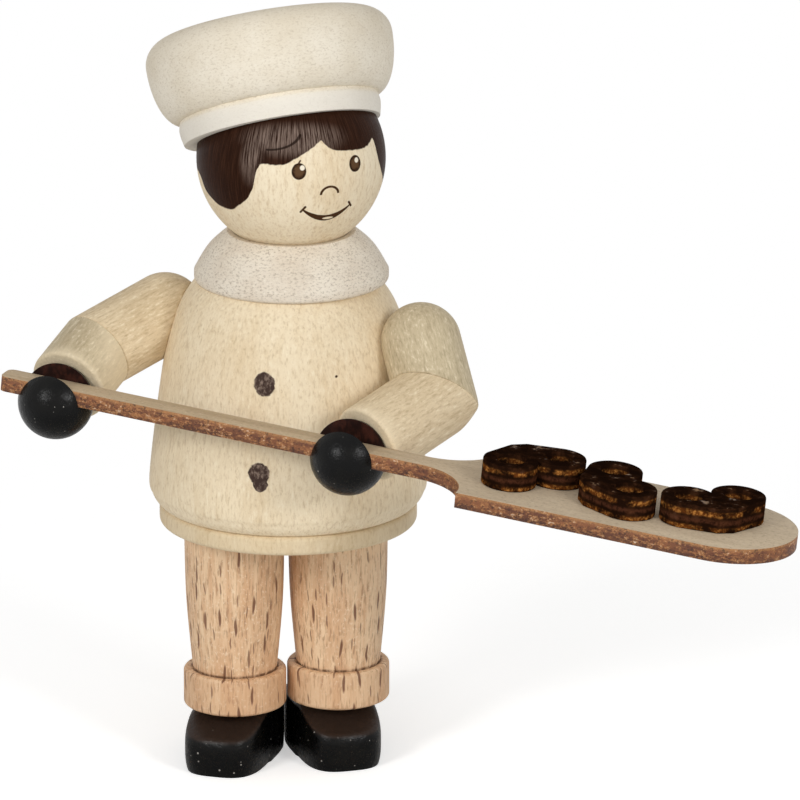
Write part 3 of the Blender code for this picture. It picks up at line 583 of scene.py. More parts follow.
def beech_finish(name, foot, drift):
    """Waxed beech with short dark flecks, a darker turn-up and painted shade in its crease."""
    finish = Finish(name)
    x, y, z = finish.in_mm(origin=foot)
    drifted = (drift * MM, 0.0, 0.0)
    broad = finish.grain(260.0, 60.0, 2.0, origin=drifted)
    streak = finish.grain(2200.0, 150.0, 3.0, 0.6, origin=drifted)
    fine = finish.grain(6000.0, 900.0, 2.0, 0.6)
    speckle = finish.grain(5200.0, 3600.0, 2.0, 0.7)
    wavy = (finish.grain(700.0, 500.0, 2.0) - 0.5) * 0.5
    around = finish.maths("ARCTAN2", x, -y) * 3.5 + drift + wavy
    marks = finish.most(flecks(finish, around, z, (1.15, 2.9), 0.52, 0.0),
                        flecks(finish, around, z, (0.66, 1.9), 0.66, 31.7) * 0.8)
    colour = finish.layered(
        (234, 202, 164),
        ((214, 172, 132), broad + (streak - 0.5) * 1.1, 0.32, 0.72, 1.0),
        ((160, 116, 82), fine, 0.48, 0.70, 0.66),
        ((240, 216, 184), speckle, 0.47, 0.24, 0.75),
        ((192, 146, 106), z, 7.6, 7.3, 0.35))
    colour = finish.mix(colour, (108, 65, 40), marks * 0.9)
    cuff = (SHOE_HEIGHT + GLUE_GAP + TURN_UP_HEIGHT) / MM
    # Painted shade in the crease where the leg steps out to the turn-up.
    crease = finish.smooth(abs(z - cuff), 0.2, 0.06) * finish.smooth(finish.length(x, y), 3.42, 3.3)
    colour = finish.layered(colour, ((96, 60, 38), streak, 0.3, 0.6, crease * 0.8))
    return finish.made(colour, 0.5 + speckle * 0.2, fine * 0.6 + streak * 0.4 - marks * 0.8, 0.03 * MM)


def black_paint(finish):
    """Return colour, roughness and relief of satin black paint with dust specks."""
    cloud = finish.grain(500.0, 500.0)
    orange_peel = finish.grain(3000.0, 3000.0, 3.0, 0.6)
    cell, chance = finish.cells(1.8)
    dust = finish.smooth(cell / (0.6 + chance[0]), 0.12, 0.05) * finish.smooth(chance[1], 0.4, 0.95)
    colour = finish.layered((3, 3, 3), ((11, 10, 8), cloud, 0.4, 0.7, 1.0))
    colour = finish.mix(colour, (190, 184, 176), dust * 0.65)
    return colour, 0.12 + orange_peel * 0.34 + dust * 0.3, orange_peel


def hand_finish():
    finish = Finish("hand_black", Specular_IOR_Level=0.15)
    return finish.made(*black_paint(finish), 0.035 * MM)


def shoe_finish(foot):
    """Black paint, with a painted brown sheen on the sloping top."""
    finish = Finish(foot.side + "_shoe_black", Specular_IOR_Level=0.15)
    colour, roughness, relief = black_paint(finish)
    _, along, up = finish.in_mm((0.0, 0.0, foot.turn), foot.place)
    crest = SHOE_HEIGHT / MM - finish.smooth(-along, 0.0, TOE_REACH / MM) * (TOE_DROP / MM)
    # Painted sheen: the sloping top is lifted to brown where it catches the light.
    top = finish.smooth(up - crest, -0.62, -0.3)
    colour = finish.mix(colour, (50, 37, 30), top * (0.55 + relief * 0.5))
    return finish.made(colour, roughness + top * 0.1, relief, 0.04 * MM)


def slot_brown():
    """Bare sawn face of a hand, stained dark by the paint."""
    finish = Finish("sawn_brown", Specular_IOR_Level=0.1)
    grain = finish.noise(finish.turned((1800.0, 900.0, 900.0)), 3.0, 0.6)
    cell, chance = finish.cells(1.6)
    colour = finish.layered(
        (30, 15, 12),
        ((62, 32, 24), grain, 0.42, 0.72, 1.0),
        ((190, 170, 150), cell, 0.11, 0.05, finish.smooth(chance[0], 0.35, 0.5) * 0.8))
    return finish.made(colour, 0.32 + grain * 0.2, grain, 0.03 * MM)


def peel_frame():
    """Return the peel's frame: X along the handle, Y away from the viewer, Z out of its flat."""
    along = Vector((math.cos(PEEL_TURN) * math.cos(PEEL_SLOPE), -math.sin(PEEL_TURN) * math.cos(PEEL_SLOPE),
                    -math.sin(PEEL_SLOPE)))
    across = UP.cross(along).normalized()
    middle = AXIS - across * PEEL_STANDOFF + UP * PEEL_Z
    return Matrix.Translation(middle) @ Matrix((along, across, along.cross(across))).transposed().to_4x4()


PEEL = peel_frame()
PEEL_EULER = tuple(PEEL.to_euler())


def ply_face():
    """Bare birch plywood, pale with fine specks, and paler on the blade."""
    finish = Finish("ply_face")
    grain = finish.noise(finish.turned((160.0, 1500.0, 1500.0), PEEL_EULER), 3.0, 0.6)
    speckle = finish.noise(finish.turned((3000.0, 4800.0, 4800.0), PEEL_EULER), 3.0, 0.75)
    along = finish.in_mm(PEEL_EULER, PEEL.translation)[0]
    colour = finish.layered(
        (196, 174, 142),
        ((180, 157, 125), grain, 0.35, 0.7, 1.0),
        ((226, 210, 186), along, 10.0, 20.0, 0.3),
        ((150, 130, 108), speckle, 0.50, 0.72, 0.6),
        ((222, 207, 186), speckle, 0.42, 0.28, 0.5))
    return finish.made(colour, 0.66 + speckle * 0.15, speckle * 0.6 + grain * 0.4)


def burnt_edge():
    """Cut edge of the peel: scorched brown, speckled with pale and dark dots."""
    finish = Finish("burnt_edge")
    height = finish.in_mm(PEEL_EULER, PEEL.translation)[2] / (PEEL_THICKNESS / MM) + 0.5
    cloud = finish.grain(420.0, 1500.0, 3.0, 0.6, PEEL_EULER)
    dots = finish.grain(3600.0, 3600.0, 2.0, 0.7)
    grit = finish.grain(2300.0, 3800.0, 4.0, 0.8, PEEL_EULER)
    colour = finish.layered(
        (92, 50, 30),
        ((134, 82, 48), cloud, 0.36, 0.66, 1.0),
        ((172, 122, 74), height + (dots - 0.5) * 0.6, 0.72, 0.95, 0.8),
        ((58, 32, 22), height + (cloud - 0.5) * 0.6, 0.42, 0.1, 0.55),
        ((52, 28, 18), dots, 0.52, 0.66, 0.75),
        ((182, 126, 74), grit, 0.49, 0.6, 0.7),
        ((224, 206, 184), grit, 0.61, 0.70, 0.8))
    return finish.made(colour, 0.5 + dots * 0.2, dots + cloud * 0.5, 0.04 * MM)


def sawn_wall(finish, dark, patch, dots, spot):
    """Return the colour of a pretzel's walls: golden plies under the stain, and painted shade, nearly black,
    low in the loops.
    """
    x, y, z = finish.in_mm(tuple(spot.to_euler()), spot.translation)
    loop, hole = LOOP_SET / MM, HOLE_RADIUS / MM
    nearest = finish.least(finish.length(x, y - loop), finish.length(x, y + loop))
    # Painted shade within the holes: the golden plies dim a little and the walls go nearly black low down.
    inside = finish.smooth(nearest, hole + 0.25, hole + 0.05)
    shaken = z / (PRETZEL_THICKNESS / MM) + (patch - 0.5) * 0.2
    ply = finish.most(finish.smooth(abs(shaken - 0.72), 0.14, 0.04),
                      finish.smooth(abs(shaken - 0.12), 0.12, 0.03))
    golden = finish.layered((96, 52, 20), ((186, 126, 62), dots, 0.42, 0.7, 1.0))
    stripe = finish.smooth(abs(shaken - 0.42), 0.14, 0.02)
    return finish.layered(
        dark,
        (golden, patch, 0.34, 0.6, ply * (1.0 - inside * 0.15)),
        ((13, 7, 4), shaken, 0.64, 0.46, inside),
        ((88, 52, 36), dots, 0.3, 0.6, stripe * 0.6))


def pretzel_finish(name, spot=None):
    """Dark gloss stain, flaked on the tops, or on the walls of the pretzel at a given spot."""
    finish = Finish(name, Coat_Roughness=0.15, Specular_IOR_Level=0.0)
    patch = finish.grain(900.0, 900.0, 3.0, 0.65)
    dots = finish.grain(4200.0, 4200.0, 2.0, 0.7)
    dark = finish.layered((30, 16, 9), ((68, 40, 23), patch, 0.4, 0.75, 1.0))
    if spot is None:
        colour = finish.mix(dark, (18, 10, 6), 0.45)
        colour = finish.layered(colour, ((132, 98, 60), patch, 0.61, 0.69, 0.8))
    else:
        colour = sawn_wall(finish, dark, patch, dots, spot)
    coat = finish.smooth(patch, 0.58, 0.72) * 0.3
    return finish.made(colour, 0.26 + dots * 0.2, patch + dots * 0.4, 0.05 * MM, coat)


def peg_finish():
    finish = Finish("peg_wood")
    grain = finish.grain(1800.0, 200.0, 3.0, 0.6)
    colour = finish.layered((206, 178, 138), ((178, 146, 104), grain, 0.38, 0.7, 1.0))
    return finish.made(colour, 0.6 + grain * 0.1, grain)


def new_tree(name, inputs):
    """Return a geometry tree with named inputs and its input node's values."""
    tree = bpy.data.node_groups.new(name, "GeometryNodeTree")
    tree.interface.new_socket("Geometry", in_out="INPUT", socket_type="NodeSocketGeometry")
    for label, kind in inputs.items():
        tree.interface.new_socket(label, in_out="INPUT", socket_type="NodeSocket" + kind)
    tree.interface.new_socket("Geometry", in_out="OUTPUT", socket_type="NodeSocketGeometry")
    graph = Graph(tree)
    return graph, graph.node("NodeGroupInput")


def close_tree(graph, shape, finish, cut=None, cut_finish=None):
    """End a tree: whole geometry, then its finish, and a finish of its own on a cut where there is one."""
    whole = graph.node("GeometryNodeRealizeInstances", None, {0: shape})
    end = graph.node("GeometryNodeSetMaterial", None, {"Geometry": whole, "Material": finish})
    if cut is not None:
        end = graph.node("GeometryNodeSetMaterial", None,
                         {"Geometry": end, "Selection": cut, "Material": cut_finish})
    outlet = graph.tree.nodes.new("NodeGroupOutput")
    graph.feed(outlet.inputs[0], end)
    return graph.tree


def lathe_tree():
    """A lathe: spins an outline, drawn beside the spindle circle, into a closed turned piece."""
    graph, start = new_tree("lathe", {"Facets": "Int", "Spindle": "Float", "Finish": "Material"})
    outline = graph.node("GeometryNodeMeshToCurve", None, {"Mesh": start})
    spindle = graph.node("GeometryNodeCurvePrimitiveCircle", {"mode": "RADIUS"},
                         {"Resolution": start.out("Facets"), "Radius": start.out("Spindle")})
    spun = graph.node("GeometryNodeCurveToMesh", None, {"Curve": spindle, "Profile Curve": outline})
    closed = graph.node("GeometryNodeMergeByDistance", None, {"Geometry": spun, "Distance": WELD})
    return close_tree(graph, closed, start.out("Finish"))


def fretsaw_tree():
    """A fretsaw: fills closed outlines and cuts them out of a plate, with a finish of its own on the cut."""
    graph, start = new_tree("fretsaw", {"Thickness": "Float", "Face": "Material", "Cut": "Material"})
    sheet = graph.node("GeometryNodeFillCurve", None, {"Curve": start})
    way = graph.node("ShaderNodeCombineXYZ", None, {2: start.out("Thickness")})
    plate = graph.node("GeometryNodeExtrudeMesh", {"mode": "FACES"},
                       {"Mesh": sheet, "Offset": way, "Offset Scale": 1.0, "Individual": False})
    under = graph.node("GeometryNodeFlipFaces", None, {"Mesh": sheet})
    whole = graph.node("GeometryNodeJoinGeometry")
    for part in (under, plate):
        graph.feed(whole.socket.node.inputs[0], part)
    closed = graph.node("GeometryNodeMergeByDistance", None, {"Geometry": whole, "Distance": WELD})
    return close_tree(graph, closed, start.out("Face"), plate.out("Side"), start.out("Cut"))


LATHE = lathe_tree()
FRETSAW = fretsaw_tree()


def linked(name, data):
    """Return a new object in the scene."""
    obj = bpy.data.objects.new(name, data)
    bpy.context.scene.collection.objects.link(obj)
    return obj


def settled(obj):
    """Return the object's evaluated shape as a plain mesh, and remove the object."""
    bpy.context.view_layer.update()
    graph = bpy.context.evaluated_depsgraph_get()
    mesh = bpy.data.meshes.new_from_object(obj.evaluated_get(graph))
    bpy.data.objects.remove(obj, do_unlink=True)
    return mesh


def shaped(data, tree, values):
    """Return the plain mesh that a geometry tree makes of the given data."""
    obj = linked("blank", data)
    modifier = obj.modifiers.new("Shape", "NODES")
    modifier.node_group = tree
    for item in tree.interface.items_tree:
        if item.in_out == "INPUT" and item.name in values:
            modifier[item.identifier] = values[item.name]
    return settled(obj)


def tidied(mesh, place=None):
    """Merge doubles, turn all faces outwards and put the mesh in its place."""
    shape = bmesh.new()
    shape.from_mesh(mesh)
    bmesh.ops.remove_doubles(shape, verts=shape.verts, dist=WELD)
    bmesh.ops.recalc_face_normals(shape, faces=shape.faces)
    if place is not None:
        bmesh.ops.transform(shape, matrix=place, verts=shape.verts)
    shape.to_mesh(mesh)
    shape.free()
    return mesh


def meshed(name, shape, finish):
    """Return a new mesh with a shape and a finish."""
    mesh = bpy.data.meshes.new(name)
    shape.to_mesh(mesh)
    shape.free()
    mesh.materials.append(finish)
    return mesh


def turned_mesh(profile, finish, place, facets=TURN_FACETS):
    """Return a turned piece from an outline of (radius, height) points, top to bottom."""
    outline = bpy.data.meshes.new("outline")
    outline.from_pydata([(r - SPINDLE, -z, 0.0) for r, z in profile],
                        [(i, i + 1) for i in range(len(profile) - 1)], [])
    mesh = shaped(outline, LATHE, {"Facets": facets, "Spindle": SPINDLE, "Finish": finish})
    return tidied(mesh, place)


def cut_plate(outlines, thickness, face, cut, place, round_over):
    """Return a plate cut to closed outlines, standing on its own XY plane."""
    curve = bpy.data.curves.new("outline", "CURVE")
    curve.dimensions = "2D"
    curve.fill_mode = "NONE"
    for points in outlines:
        spline = curve.splines.new("POLY")
        spline.points.add(len(points) - 1)
        for target, (x, y) in zip(spline.points, points):
            target.co = (x, y, 0.0, 1.0)
        spline.use_cyclic_u = True
    sawn = shaped(curve, FRETSAW, {"Thickness": thickness, "Face": face, "Cut": cut})
    plate = linked("plate", tidied(sawn))
    bevel = plate.modifiers.new("Round over", "BEVEL")
    bevel.width = round_over
    bevel.segments = 2
    bevel.limit_method = "ANGLE"
    bevel.angle_limit = math.radians(50.0)
    return tidied(settled(plate), place)


def cut_by(mesh, cutter):
    """Return a mesh cut by another, whose finish the cut faces take."""
    target, tool = linked("target", mesh), linked("tool", cutter)
    modifier = target.modifiers.new("Cut", "BOOLEAN")
    modifier.operation = "DIFFERENCE"
    modifier.object = tool
    modifier.solver = "EXACT"
    modifier.material_mode = "TRANSFER"
    result = settled(target)
    bpy.data.objects.remove(tool, do_unlink=True)
    return tidied(result)


def piece(node, mesh, sharp=38.0):
    """Add the finished piece that stands for a CAD node."""
    obj = linked("baker_" + node, mesh)
    mesh.polygons.foreach_set("use_smooth", [True] * len(mesh.polygons))
    mesh.set_sharp_from_angle(angle=math.radians(sharp))
    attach(obj, BODY)
    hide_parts(node)


def arc(centre, radius, start, end, steps):
    angles = [start + (end - start) * i / steps for i in range(steps + 1)]
    return [(centre[0] + radius * math.cos(a), centre[1] + radius * math.sin(a)) for a in angles]


def ellipse_arc(centre, radii, start, end, steps):
    return [(centre[0] + radii[0] * x, centre[1] + radii[1] * y)
            for x, y in arc((0.0, 0.0), 1.0, start, end, steps)]


def flowing(points, per_span=10):
    """Return a smooth Catmull-Rom curve through the given points."""
    padded = [points[0], *points, points[-1]]
    curve = []
    for before, start, end, after in zip(padded, padded[1:], padded[2:], padded[3:]):
        for i in range(per_span):
            t = i / per_span
            curve.append(tuple(
                0.5 * (2 * b + (c - a) * t + (2 * a - 5 * b + 4 * c - d) * t ** 2
                       + (3 * b - a - 3 * c + d) * t ** 3)
                for a, b, c, d in zip(before, start, end, after)))
    return [*curve, points[-1]]


def over_hem(points):
    return [(radius * MM, HEM_Z + height * MM) for radius, height in points]


def torso_profile():
    inner = HEM_RADIUS - HEM_ROUND
    return [
        (0.0, TORSO_TOP_Z), *flowing(over_hem(TORSO_SIDE)), *over_hem(HEM_GROOVE),
        *arc((inner, HEM_Z + HEM_HEIGHT - HEM_ROUND), HEM_ROUND, QUARTER, 0.0, 6),
        *arc((inner, HEM_Z + HEM_ROUND), HEM_ROUND, 0.0, -QUARTER, 8),
        (0.0, HEM_Z)]


TORSO_PROFILE = torso_profile()


def torso_radius(height):
    radii = [r0 + (r1 - r0) * (height - z0) / (z1 - z0)
             for (r0, z0), (r1, z1) in zip(TORSO_PROFILE, TORSO_PROFILE[1:])
             if z0 != z1 and min(z0, z1) <= height <= max(z0, z1)]
    return max(radii) if radii else 0.0


def leg_profile():
    foot = SHOE_HEIGHT + GLUE_GAP
    cuff = foot + TURN_UP_HEIGHT
    knee = (HEM_Z - GLUE_GAP + cuff) / 2.0
    side = flowing([(LEG_TOP_RADIUS, HEM_Z), (KNEE_RADIUS, knee), (ANKLE_RADIUS, cuff)])
    crease = [(ANKLE_RADIUS + out * MM, cuff + rise * MM) for out, rise in CREASE]
    inner = TURN_UP_RADIUS - TURN_UP_ROUND
    return [
        (0.0, HEM_Z), *side[:-1], *crease,
        *arc((inner, cuff - TURN_UP_ROUND), TURN_UP_ROUND, QUARTER, 0.0, 8),
        *arc((inner, foot + TURN_UP_ROUND), TURN_UP_ROUND, 0.0, -QUARTER, 8),
        (LEG_FOOT_RADIUS, SHOE_HEIGHT), (0.0, SHOE_HEIGHT)]


def collar_profile():
    lip = SEAT_RADIUS * math.cos(CHIN_ANGLE) + CHIN_LIP
    middle = ((COLLAR_RADIUS + lip) / 2.0 + COLLAR_SWELL, (COLLAR_EDGE + COLLAR_HEIGHT) / 2.0 + COLLAR_SWELL)
    slope = flowing([(lip, COLLAR_HEIGHT), middle, (COLLAR_RADIUS, COLLAR_EDGE)])
    ball, ball_z = HEAD_RADIUS + EASE, HEAD.z - TORSO_TOP_Z
    reach = math.acos((ball_z - COLLAR_HEIGHT) / ball)
    seat = arc((0.0, ball_z), ball, -QUARTER, reach - QUARTER, 24)
    edge = arc((COLLAR_RADIUS - COLLAR_ROUND, COLLAR_ROUND), COLLAR_ROUND, 0.0, -QUARTER, 8)
    outline = [(0.0, ball_z - ball), *seat[1:], *slope, *edge, (0.0, 0.0)]
    return [(radius, TORSO_TOP_Z + height) for radius, height in outline]


def head_profile():
    side = arc((0.0, 0.0), HEAD_RADIUS, QUARTER, -QUARTER, 96)
    return [(0.0, HEAD_RADIUS), *side[1:-1], (0.0, -HEAD_RADIUS)]


def hat_profile():
    opening, brim = SEAT_RADIUS * math.cos(HAT_ANGLE), SEAT_RADIUS * math.sin(HAT_ANGLE)
    band, crown_z = opening + BAND_LIP, brim + BAND_HEIGHT
    waist = band + BAND_WAIST_SHARE * BAND_SWELL
    crown, top = band + BAND_SWELL + CROWN_OVERHANG - EASE, crown_z + CROWN_HEIGHT - EASE
    flat, shoulder = crown - CROWN_CORNER, top - CROWN_RISE - CROWN_CORNER
    bulge = (band + BAND_SWELL, crown_z - BAND_BULGE_SHARE * BAND_HEIGHT)
    side = flowing([(waist, crown_z), bulge, (band + BRIM_SWELL, brim + BRIM_ROUND), (band, brim)])
    return [
        *((flat * i / 12, top - CROWN_RISE * (i / 12) ** 2) for i in range(12)),
        *arc((flat, shoulder), CROWN_CORNER, QUARTER, 0.0, 16),
        *ellipse_arc((waist, shoulder), (crown - waist, shoulder - crown_z), 0.0, -QUARTER, 20)[1:],
        *side[1:], (0.0, brim)]


def build_body():
    """Torso, collar and head."""
    piece("torso", turned_mesh(TORSO_PROFILE, torso_finish(), Matrix.Translation(AXIS)))
    piece("collar", turned_mesh(collar_profile(), collar_finish(), Matrix.Translation(NECK)))
    piece("head", turned_mesh(head_profile(), head_finish(), Matrix.Translation(HEAD), HEAD_FACETS))


def build_hat():
    """Turned cap, tilted back and hollowed by the head."""
    look = hat_finish()
    seat = Matrix.Translation(HEAD)
    hat = turned_mesh(hat_profile(), look, seat @ HAT_TURN @ Matrix.Translation((-HAT_SHIFT, 0.0, 0.0)))
    piece("hat", cut_by(hat, turned_mesh(head_profile(), look, seat, HEAD_FACETS)))


def build_legs():
    for foot in FEET:
        look = beech_finish(foot.side + "_beech", foot.place, foot.drift)
        leg = turned_mesh(leg_profile(), look, Matrix.Translation(foot.place), SMALL_FACETS)
        piece(foot.side + "_leg", leg)


def smooth_step(value):
    clamped = min(max(value, 0.0), 1.0)
    return clamped * clamped * (3.0 - 2.0 * clamped)


def shoe_point(across, along, up):
    """Return where a point of a cube from -1 to 1 goes on a shoe: rounded plan, sloping toe, crowned top."""
    heel = along > 0.0
    power, lean, reach = (HEEL_POWER, HEEL_LEAN, HEEL_REACH) if heel else (TOE_POWER, TOE_LEAN, TOE_REACH)
    ring = max(abs(across), abs(along))
    squared = (abs(across) ** power + abs(along) ** power) ** (1.0 / power)
    inset = (ring / squared if squared else 0.0) * (1.0 - lean * abs(up) ** 3)
    y = along * inset * reach
    crest = SHOE_HEIGHT - TOE_DROP * smooth_step(-y / TOE_REACH)
    crown = 1.0 - SHOE_CROWN * ring ** 4 * max(up, 0.0)
    return Vector((across * inset * SHOE_WIDTH / 2.0, y, crest * crown * (up + 1.0) / 2.0))


def build_shoes():
    """Two painted blocks."""
    for foot in FEET:
        shape = bmesh.new()
        bmesh.ops.create_cube(shape, size=2.0)
        bmesh.ops.subdivide_edges(shape, edges=shape.edges, cuts=SHOE_CUTS, use_grid_fill=True)
        for vert in shape.verts:
            vert.co = shoe_point(*vert.co) + Vector((foot.outset, 0.0, 0.0))
        mesh = meshed("shoe", shape, shoe_finish(foot))
        place = Matrix.Translation(foot.place) @ Matrix.Rotation(foot.turn, 4, "Z")
        piece(foot.side + "_shoe", tidied(mesh, place), sharp=60.0)


def tube_mesh(rings, ends, finish):
    """Return a closed tube of equal rings, fanned to one point at each end."""
    count = len(rings[0])
    verts = [point for ring in rings for point in ring] + list(ends)
    around = [(i, (i + 1) % count) for i in range(count)]
    last = (len(rings) - 1) * count
    faces = [(low + i, low + j, low + count + j, low + count + i)
             for low in range(0, last, count) for i, j in around]
    for i, j in around:
        faces.append((j, i, len(verts) - 2))
        faces.append((last + i, last + j, len(verts) - 1))
    mesh = bpy.data.meshes.new("tube")
    mesh.from_pydata(verts, [], faces)
    mesh.materials.append(finish)
    return tidied(mesh)


def clear_of_torso(point):
    """Return the point, moved outwards to the torso's surface if it lies inside."""
    flat = Vector((point.x - AXIS.x, point.y - AXIS.y, 0.0))
    wanted = torso_radius(point.z) - TORSO_CONTACT
    if flat.length >= wanted or flat.length == 0.0:
        return point
    return point + flat * (wanted / flat.length - 1.0)


class ArmLine:
    """An arm's line from shoulder over elbow to hand, with the mitre between its two dowels."""

    def __init__(self, arm):
        outward = Vector((math.cos(arm.shoulder_turn), -math.sin(arm.shoulder_turn), 0.0)) * arm.outward
        shoulder_z = HEM_Z + arm.shoulder_height
        self.shoulder = AXIS + outward * (torso_radius(shoulder_z) + arm.standoff) + UP * shoulder_z
        self.elbow = self.shoulder + arm.elbow_way
        drop = PEEL_THICKNESS / 2.0 + GLUE_GAP + arm.slot_rise
        self.hand = PEEL @ Vector((arm.grip, SLOT_SET_FORWARD, -drop))
        self.up_way = (self.shoulder - self.elbow).normalized()
        self.hand_way = (self.hand - self.elbow).normalized()
        self.mitre = (self.hand_way - self.up_way).normalized()
        self.corner = -(self.hand_way + self.up_way).normalized()
        corner_reach = ARM_RADIUS / math.sin(self.up_way.angle(self.hand_way) / 2.0)
        self.limit = corner_reach - ELBOW_SANDING - ELBOW_SOFTNESS

    def fitted(self, point):
        """Return the point with the elbow's corner sanded softly away, and clear of the torso."""
        past = (point - self.elbow).dot(self.corner) - self.limit
        if past > 0.0:
            point = point - self.corner * (past - ELBOW_SOFTNESS * (1.0 - math.exp(-past / ELBOW_SOFTNESS)))
        return clear_of_torso(point)

    def dowel_mesh(self, way, length, corner, steps, corner_steps, finish):
        """Return a dowel from the elbow, with a fine chamfer at its mitre and its far end rounded over."""
        first = way.orthogonal().normalized()
        second = way.cross(first)
        turns = [math.tau * i / SMALL_FACETS for i in range(SMALL_FACETS)]
        spokes = [first * math.cos(turn) + second * math.sin(turn) for turn in turns]
        starts = [-(spoke * ARM_RADIUS).dot(self.mitre) / way.dot(self.mitre) for spoke in spokes]
        inner, straight = ARM_RADIUS - ELBOW_CHAMFER, length - corner

        # Each ring holds a radius and a distance from the elbow for each spoke
        rings = [[(inner, start * inner / ARM_RADIUS) for start in starts]]
        for share in (step / steps for step in range(steps + 1)):
            rings.append([(ARM_RADIUS, (start + ELBOW_CHAMFER) * (1.0 - share) + straight * share)
                          for start in starts])
        for bend in (QUARTER * step / corner_steps for step in range(1, corner_steps + 1)):
            radius = ARM_RADIUS - corner * (1.0 - math.cos(bend))
            rings.append([(radius, straight + corner * math.sin(bend))] * SMALL_FACETS)
        points = [[self.fitted(self.elbow + spoke * radius + way * along)
                   for spoke, (radius, along) in zip(spokes, ring)] for ring in rings]
        ends = [self.fitted(self.elbow), self.fitted(self.elbow + way * length)]
        return tube_mesh(points, ends, finish)


def grain_along(way):
    return tuple(way.to_track_quat("Z", "Y").to_euler())


def upper_arm_mesh(arm, line):
    """Return the upper arm, domed at the shoulder."""
    look = upper_arm_maple(arm.side + "_upper_arm_maple", arm.upper_tones, grain_along(line.up_way))
    length = (line.shoulder - line.elbow).length + ARM_RADIUS
    return line.dowel_mesh(line.up_way, length, ARM_RADIUS, 40, 24, look)


def forearm_mesh(arm, line):
    """Return the forearm, rounded over at the cuff."""
    length = (line.hand - line.elbow).length - HAND_REACH
    look = forearm_maple(arm.side + "_forearm_maple", arm.lower_tones, grain_along(line.hand_way),
                         line.elbow, length, arm.bleached)
    return line.dowel_mesh(line.hand_way, length, CUFF_ROUND, 48, 8, look)


def slot_mesh(grip, finish):
    """Return the block that saws a hand's slot, open at the top of the peel."""
    shape = bmesh.new()
    bmesh.ops.create_cube(shape, size=1.0)
    low = -PEEL_THICKNESS / 2.0 - EASE
    size = Vector((SLOT_LENGTH, HANDLE_WIDTH + 2.0 * EASE, SLOT_TOP - low))
    middle = Vector((grip, 0.0, (low + SLOT_TOP) / 2.0))
    place = PEEL @ Matrix.Translation(middle) @ Matrix.Diagonal(size).to_4x4()
    bmesh.ops.transform(shape, matrix=place, verts=shape.verts)
    return meshed("slot", shape, finish)


def hand_mesh(arm, line, black, brown):
    """Return a ball hand, flat where it is glued into the cuff and slotted for the peel."""
    reach = math.asin(HAND_REACH / HAND_RADIUS)
    side = arc((0.0, 0.0), HAND_RADIUS, QUARTER, -reach, 60)
    place = Matrix.Translation(line.hand) @ line.hand_way.to_track_quat("Z", "Y").to_matrix().to_4x4()
    ball = turned_mesh([(0.0, HAND_RADIUS), *side[1:], (0.0, -HAND_REACH)], black, place, SMALL_FACETS)
    return cut_by(ball, slot_mesh(arm.grip, brown))


def build_arms():
    black, brown = hand_finish(), slot_brown()
    for arm in ARMS:
        line = ArmLine(arm)
        piece(arm.side + "_upper_arm", upper_arm_mesh(arm, line))
        piece(arm.side + "_forearm", forearm_mesh(arm, line))
        piece(arm.side + "_hand", hand_mesh(arm, line, black, brown))


def mirrored(points):
    return [(x, -y) for x, y in reversed(points)]


def peel_outline():
    half_handle, half_blade = HANDLE_WIDTH / 2.0, BLADE_WIDTH / 2.0
    hollow = half_blade - half_handle
    near = arc((BLADE_START - hollow, -half_blade), hollow, QUARTER, 0.0, 24)
    tip = arc((BLADE_START + BLADE_STRAIGHT, 0.0), half_blade, -QUARTER, QUARTER, 56)
    corner_middle = (HANDLE_CORNER - HANDLE_END, half_handle - HANDLE_CORNER)
    corner = arc(corner_middle, HANDLE_CORNER, QUARTER, math.pi, 8)
    return [*near, *tip, *mirrored(near), *corner, *mirrored(corner)]


def pretzel_outlines():
    """Return a pretzel's outline and its two holes. The tail points to +X."""
    tail = Vector((TAIL_REACH * LOOP_RADIUS, TAIL_WIDTH / 2.0))
    to_tail = tail - Vector((0.0, LOOP_SET))
    tangent = math.atan2(to_tail.y, to_tail.x) + math.acos(LOOP_RADIUS / to_tail.length)
    notch = 1.5 * math.pi - math.acos(LOOP_SET / LOOP_RADIUS)
    far = arc((0.0, LOOP_SET), LOOP_RADIUS, tangent, notch, 56)
    holes = [arc((0.0, middle), HOLE_RADIUS, 0.0, math.tau, 40)[:-1] for middle in (LOOP_SET, -LOOP_SET)]
    return [[tuple(tail), *far, *mirrored(far)[1:], (tail.x, -tail.y)], *holes]


def build_peel():
    place = PEEL @ Matrix.Translation((0.0, 0.0, -PEEL_THICKNESS / 2.0))
    piece("peel", cut_plate([peel_outline()], PEEL_THICKNESS, ply_face(), burnt_edge(), place, PEEL_ROUND))


def build_pretzels():
    top = pretzel_finish("pretzel_top")
    for number, (along, across, points_to) in enumerate(PRETZEL_PLACES, start=1):
        middle = (BLADE_START + along * LOOP_RADIUS, across * LOOP_RADIUS, PEEL_THICKNESS / 2.0)
        spot = PEEL @ Matrix.Translation(middle) @ Matrix.Rotation(math.radians(points_to), 4, "Z")
        wall = pretzel_finish(f"pretzel_{number}_wall", spot)
        mesh = cut_plate(pretzel_outlines(), PRETZEL_THICKNESS, top, wall, spot, PRETZEL_ROUND)
        piece(f"pretzel_{number}", mesh)


def dress_pegs():
    """Give the hidden dowels, which keep their solids, a wood finish."""
    look = peg_finish()
    for name in ("hat_dowel", "neck_dowel", "left_shoulder_dowel", "right_shoulder_dowel"):
        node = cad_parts[name]
        node.data.materials.clear()
        node.data.materials.append(look)


def light_surround(scene):
    """White surround that lights the figure less than it shows."""
    world = bpy.data.worlds.new("studio")
    world.use_nodes = True
    scene.world = world
    sky = Graph(world.node_tree)
    rays = sky.node("ShaderNodeLightPath", output="Is Camera Ray")
    seen = sky.most(rays, rays.out("Is Glossy Ray"), rays.out("Is Transmission Ray"))
    background = world.node_tree.nodes["Background"]
    background.inputs["Color"].default_value = (1.0, 1.0, 1.0, 1.0)
    sky.feed(background.inputs["Strength"], AMBIENT + seen * (1.0 - AMBIENT))


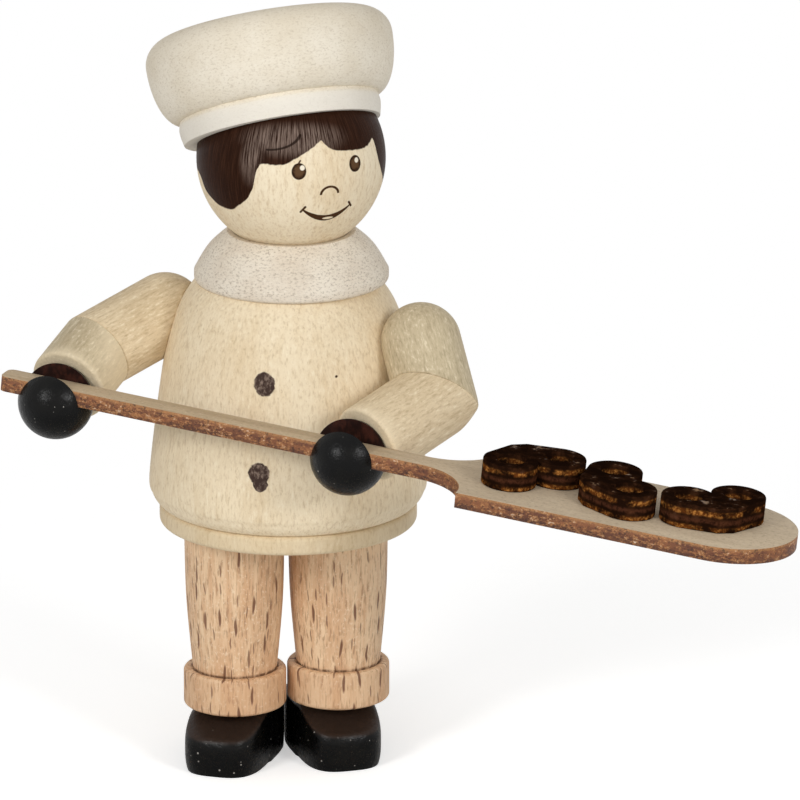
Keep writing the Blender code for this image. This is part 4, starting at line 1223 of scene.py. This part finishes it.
def floor_finish():
    """Pale matt floor that fades away around the figure."""
    finish = Finish("pale_floor", Base_Color=FLOOR_COLOUR, Roughness=0.9, Specular_IOR_Level=0.0)
    x, y, _ = finish.in_mm()
    away = finish.length(x - FLOOR_MIDDLE[0], y - FLOOR_MIDDLE[1])
    camera_ray = finish.node("ShaderNodeLightPath", output="Is Camera Ray")
    glow = finish.node("ShaderNodeEmission", None, {"Strength": camera_ray * FLOOR_LIFT})
    lit = finish.node("ShaderNodeAddShader", None, {0: Value(finish, finish.surface.outputs[0]), 1: glow})
    clear = finish.node("ShaderNodeBsdfTransparent")
    faded = finish.node("ShaderNodeMixShader", None,
                        {0: finish.smooth(away, *FLOOR_FADE), 1: clear, 2: lit})
    finish.feed(finish.tree.nodes["Material Output"].inputs["Surface"], faded)
    return finish.material


def lay_floor():
    shape = bmesh.new()
    bmesh.ops.create_circle(shape, cap_ends=True, radius=FLOOR_RADIUS, segments=64)
    floor = linked("floor", meshed("floor", shape, floor_finish()))


def hang_lamps():
    for box in SOFTBOXES:
        light = bpy.data.lights.new(box.name, "AREA")
        light.shape = "SQUARE"
        light.size = box.size
        light.energy = box.power
        lamp = linked(box.name, light)
        lamp.visible_glossy = box.mirrored
        azimuth, elevation = math.radians(box.azimuth), math.radians(box.elevation)
        level = math.cos(elevation)
        way = Vector((math.sin(azimuth) * level, -math.cos(azimuth) * level, math.sin(elevation)))
        lamp.location = VIEW_TARGET + way * LAMP_DISTANCE
        lamp.rotation_euler = way.to_track_quat("Z", "Y").to_euler()


def set_camera(scene):
    """Camera of the photograph: in front of the figure, a little above it, with a narrow view."""
    camera = linked("camera", bpy.data.cameras.new("camera"))
    way = Vector((0.0, -math.cos(CAMERA_TILT), math.sin(CAMERA_TILT)))
    camera.location = VIEW_TARGET + way * CAMERA_DISTANCE
    camera.rotation_euler = (QUARTER - CAMERA_TILT, 0.0, 0.0)
    camera.data.sensor_width = CAMERA_SENSOR
    camera.data.lens = CAMERA_SENSOR * CAMERA_DISTANCE / PICTURE_WIDTH
    camera.data.clip_start = CAMERA_CLIP
    scene.camera = camera


def build_stage():
    scene = bpy.context.scene
    scene.view_settings.view_transform = "Standard"
    light_surround(scene)
    lay_floor()
    hang_lamps()
    set_camera(scene)


build_body()
build_hat()
build_legs()
build_shoes()
build_arms()
build_peel()
build_pretzels()
dress_pegs()
build_stage()
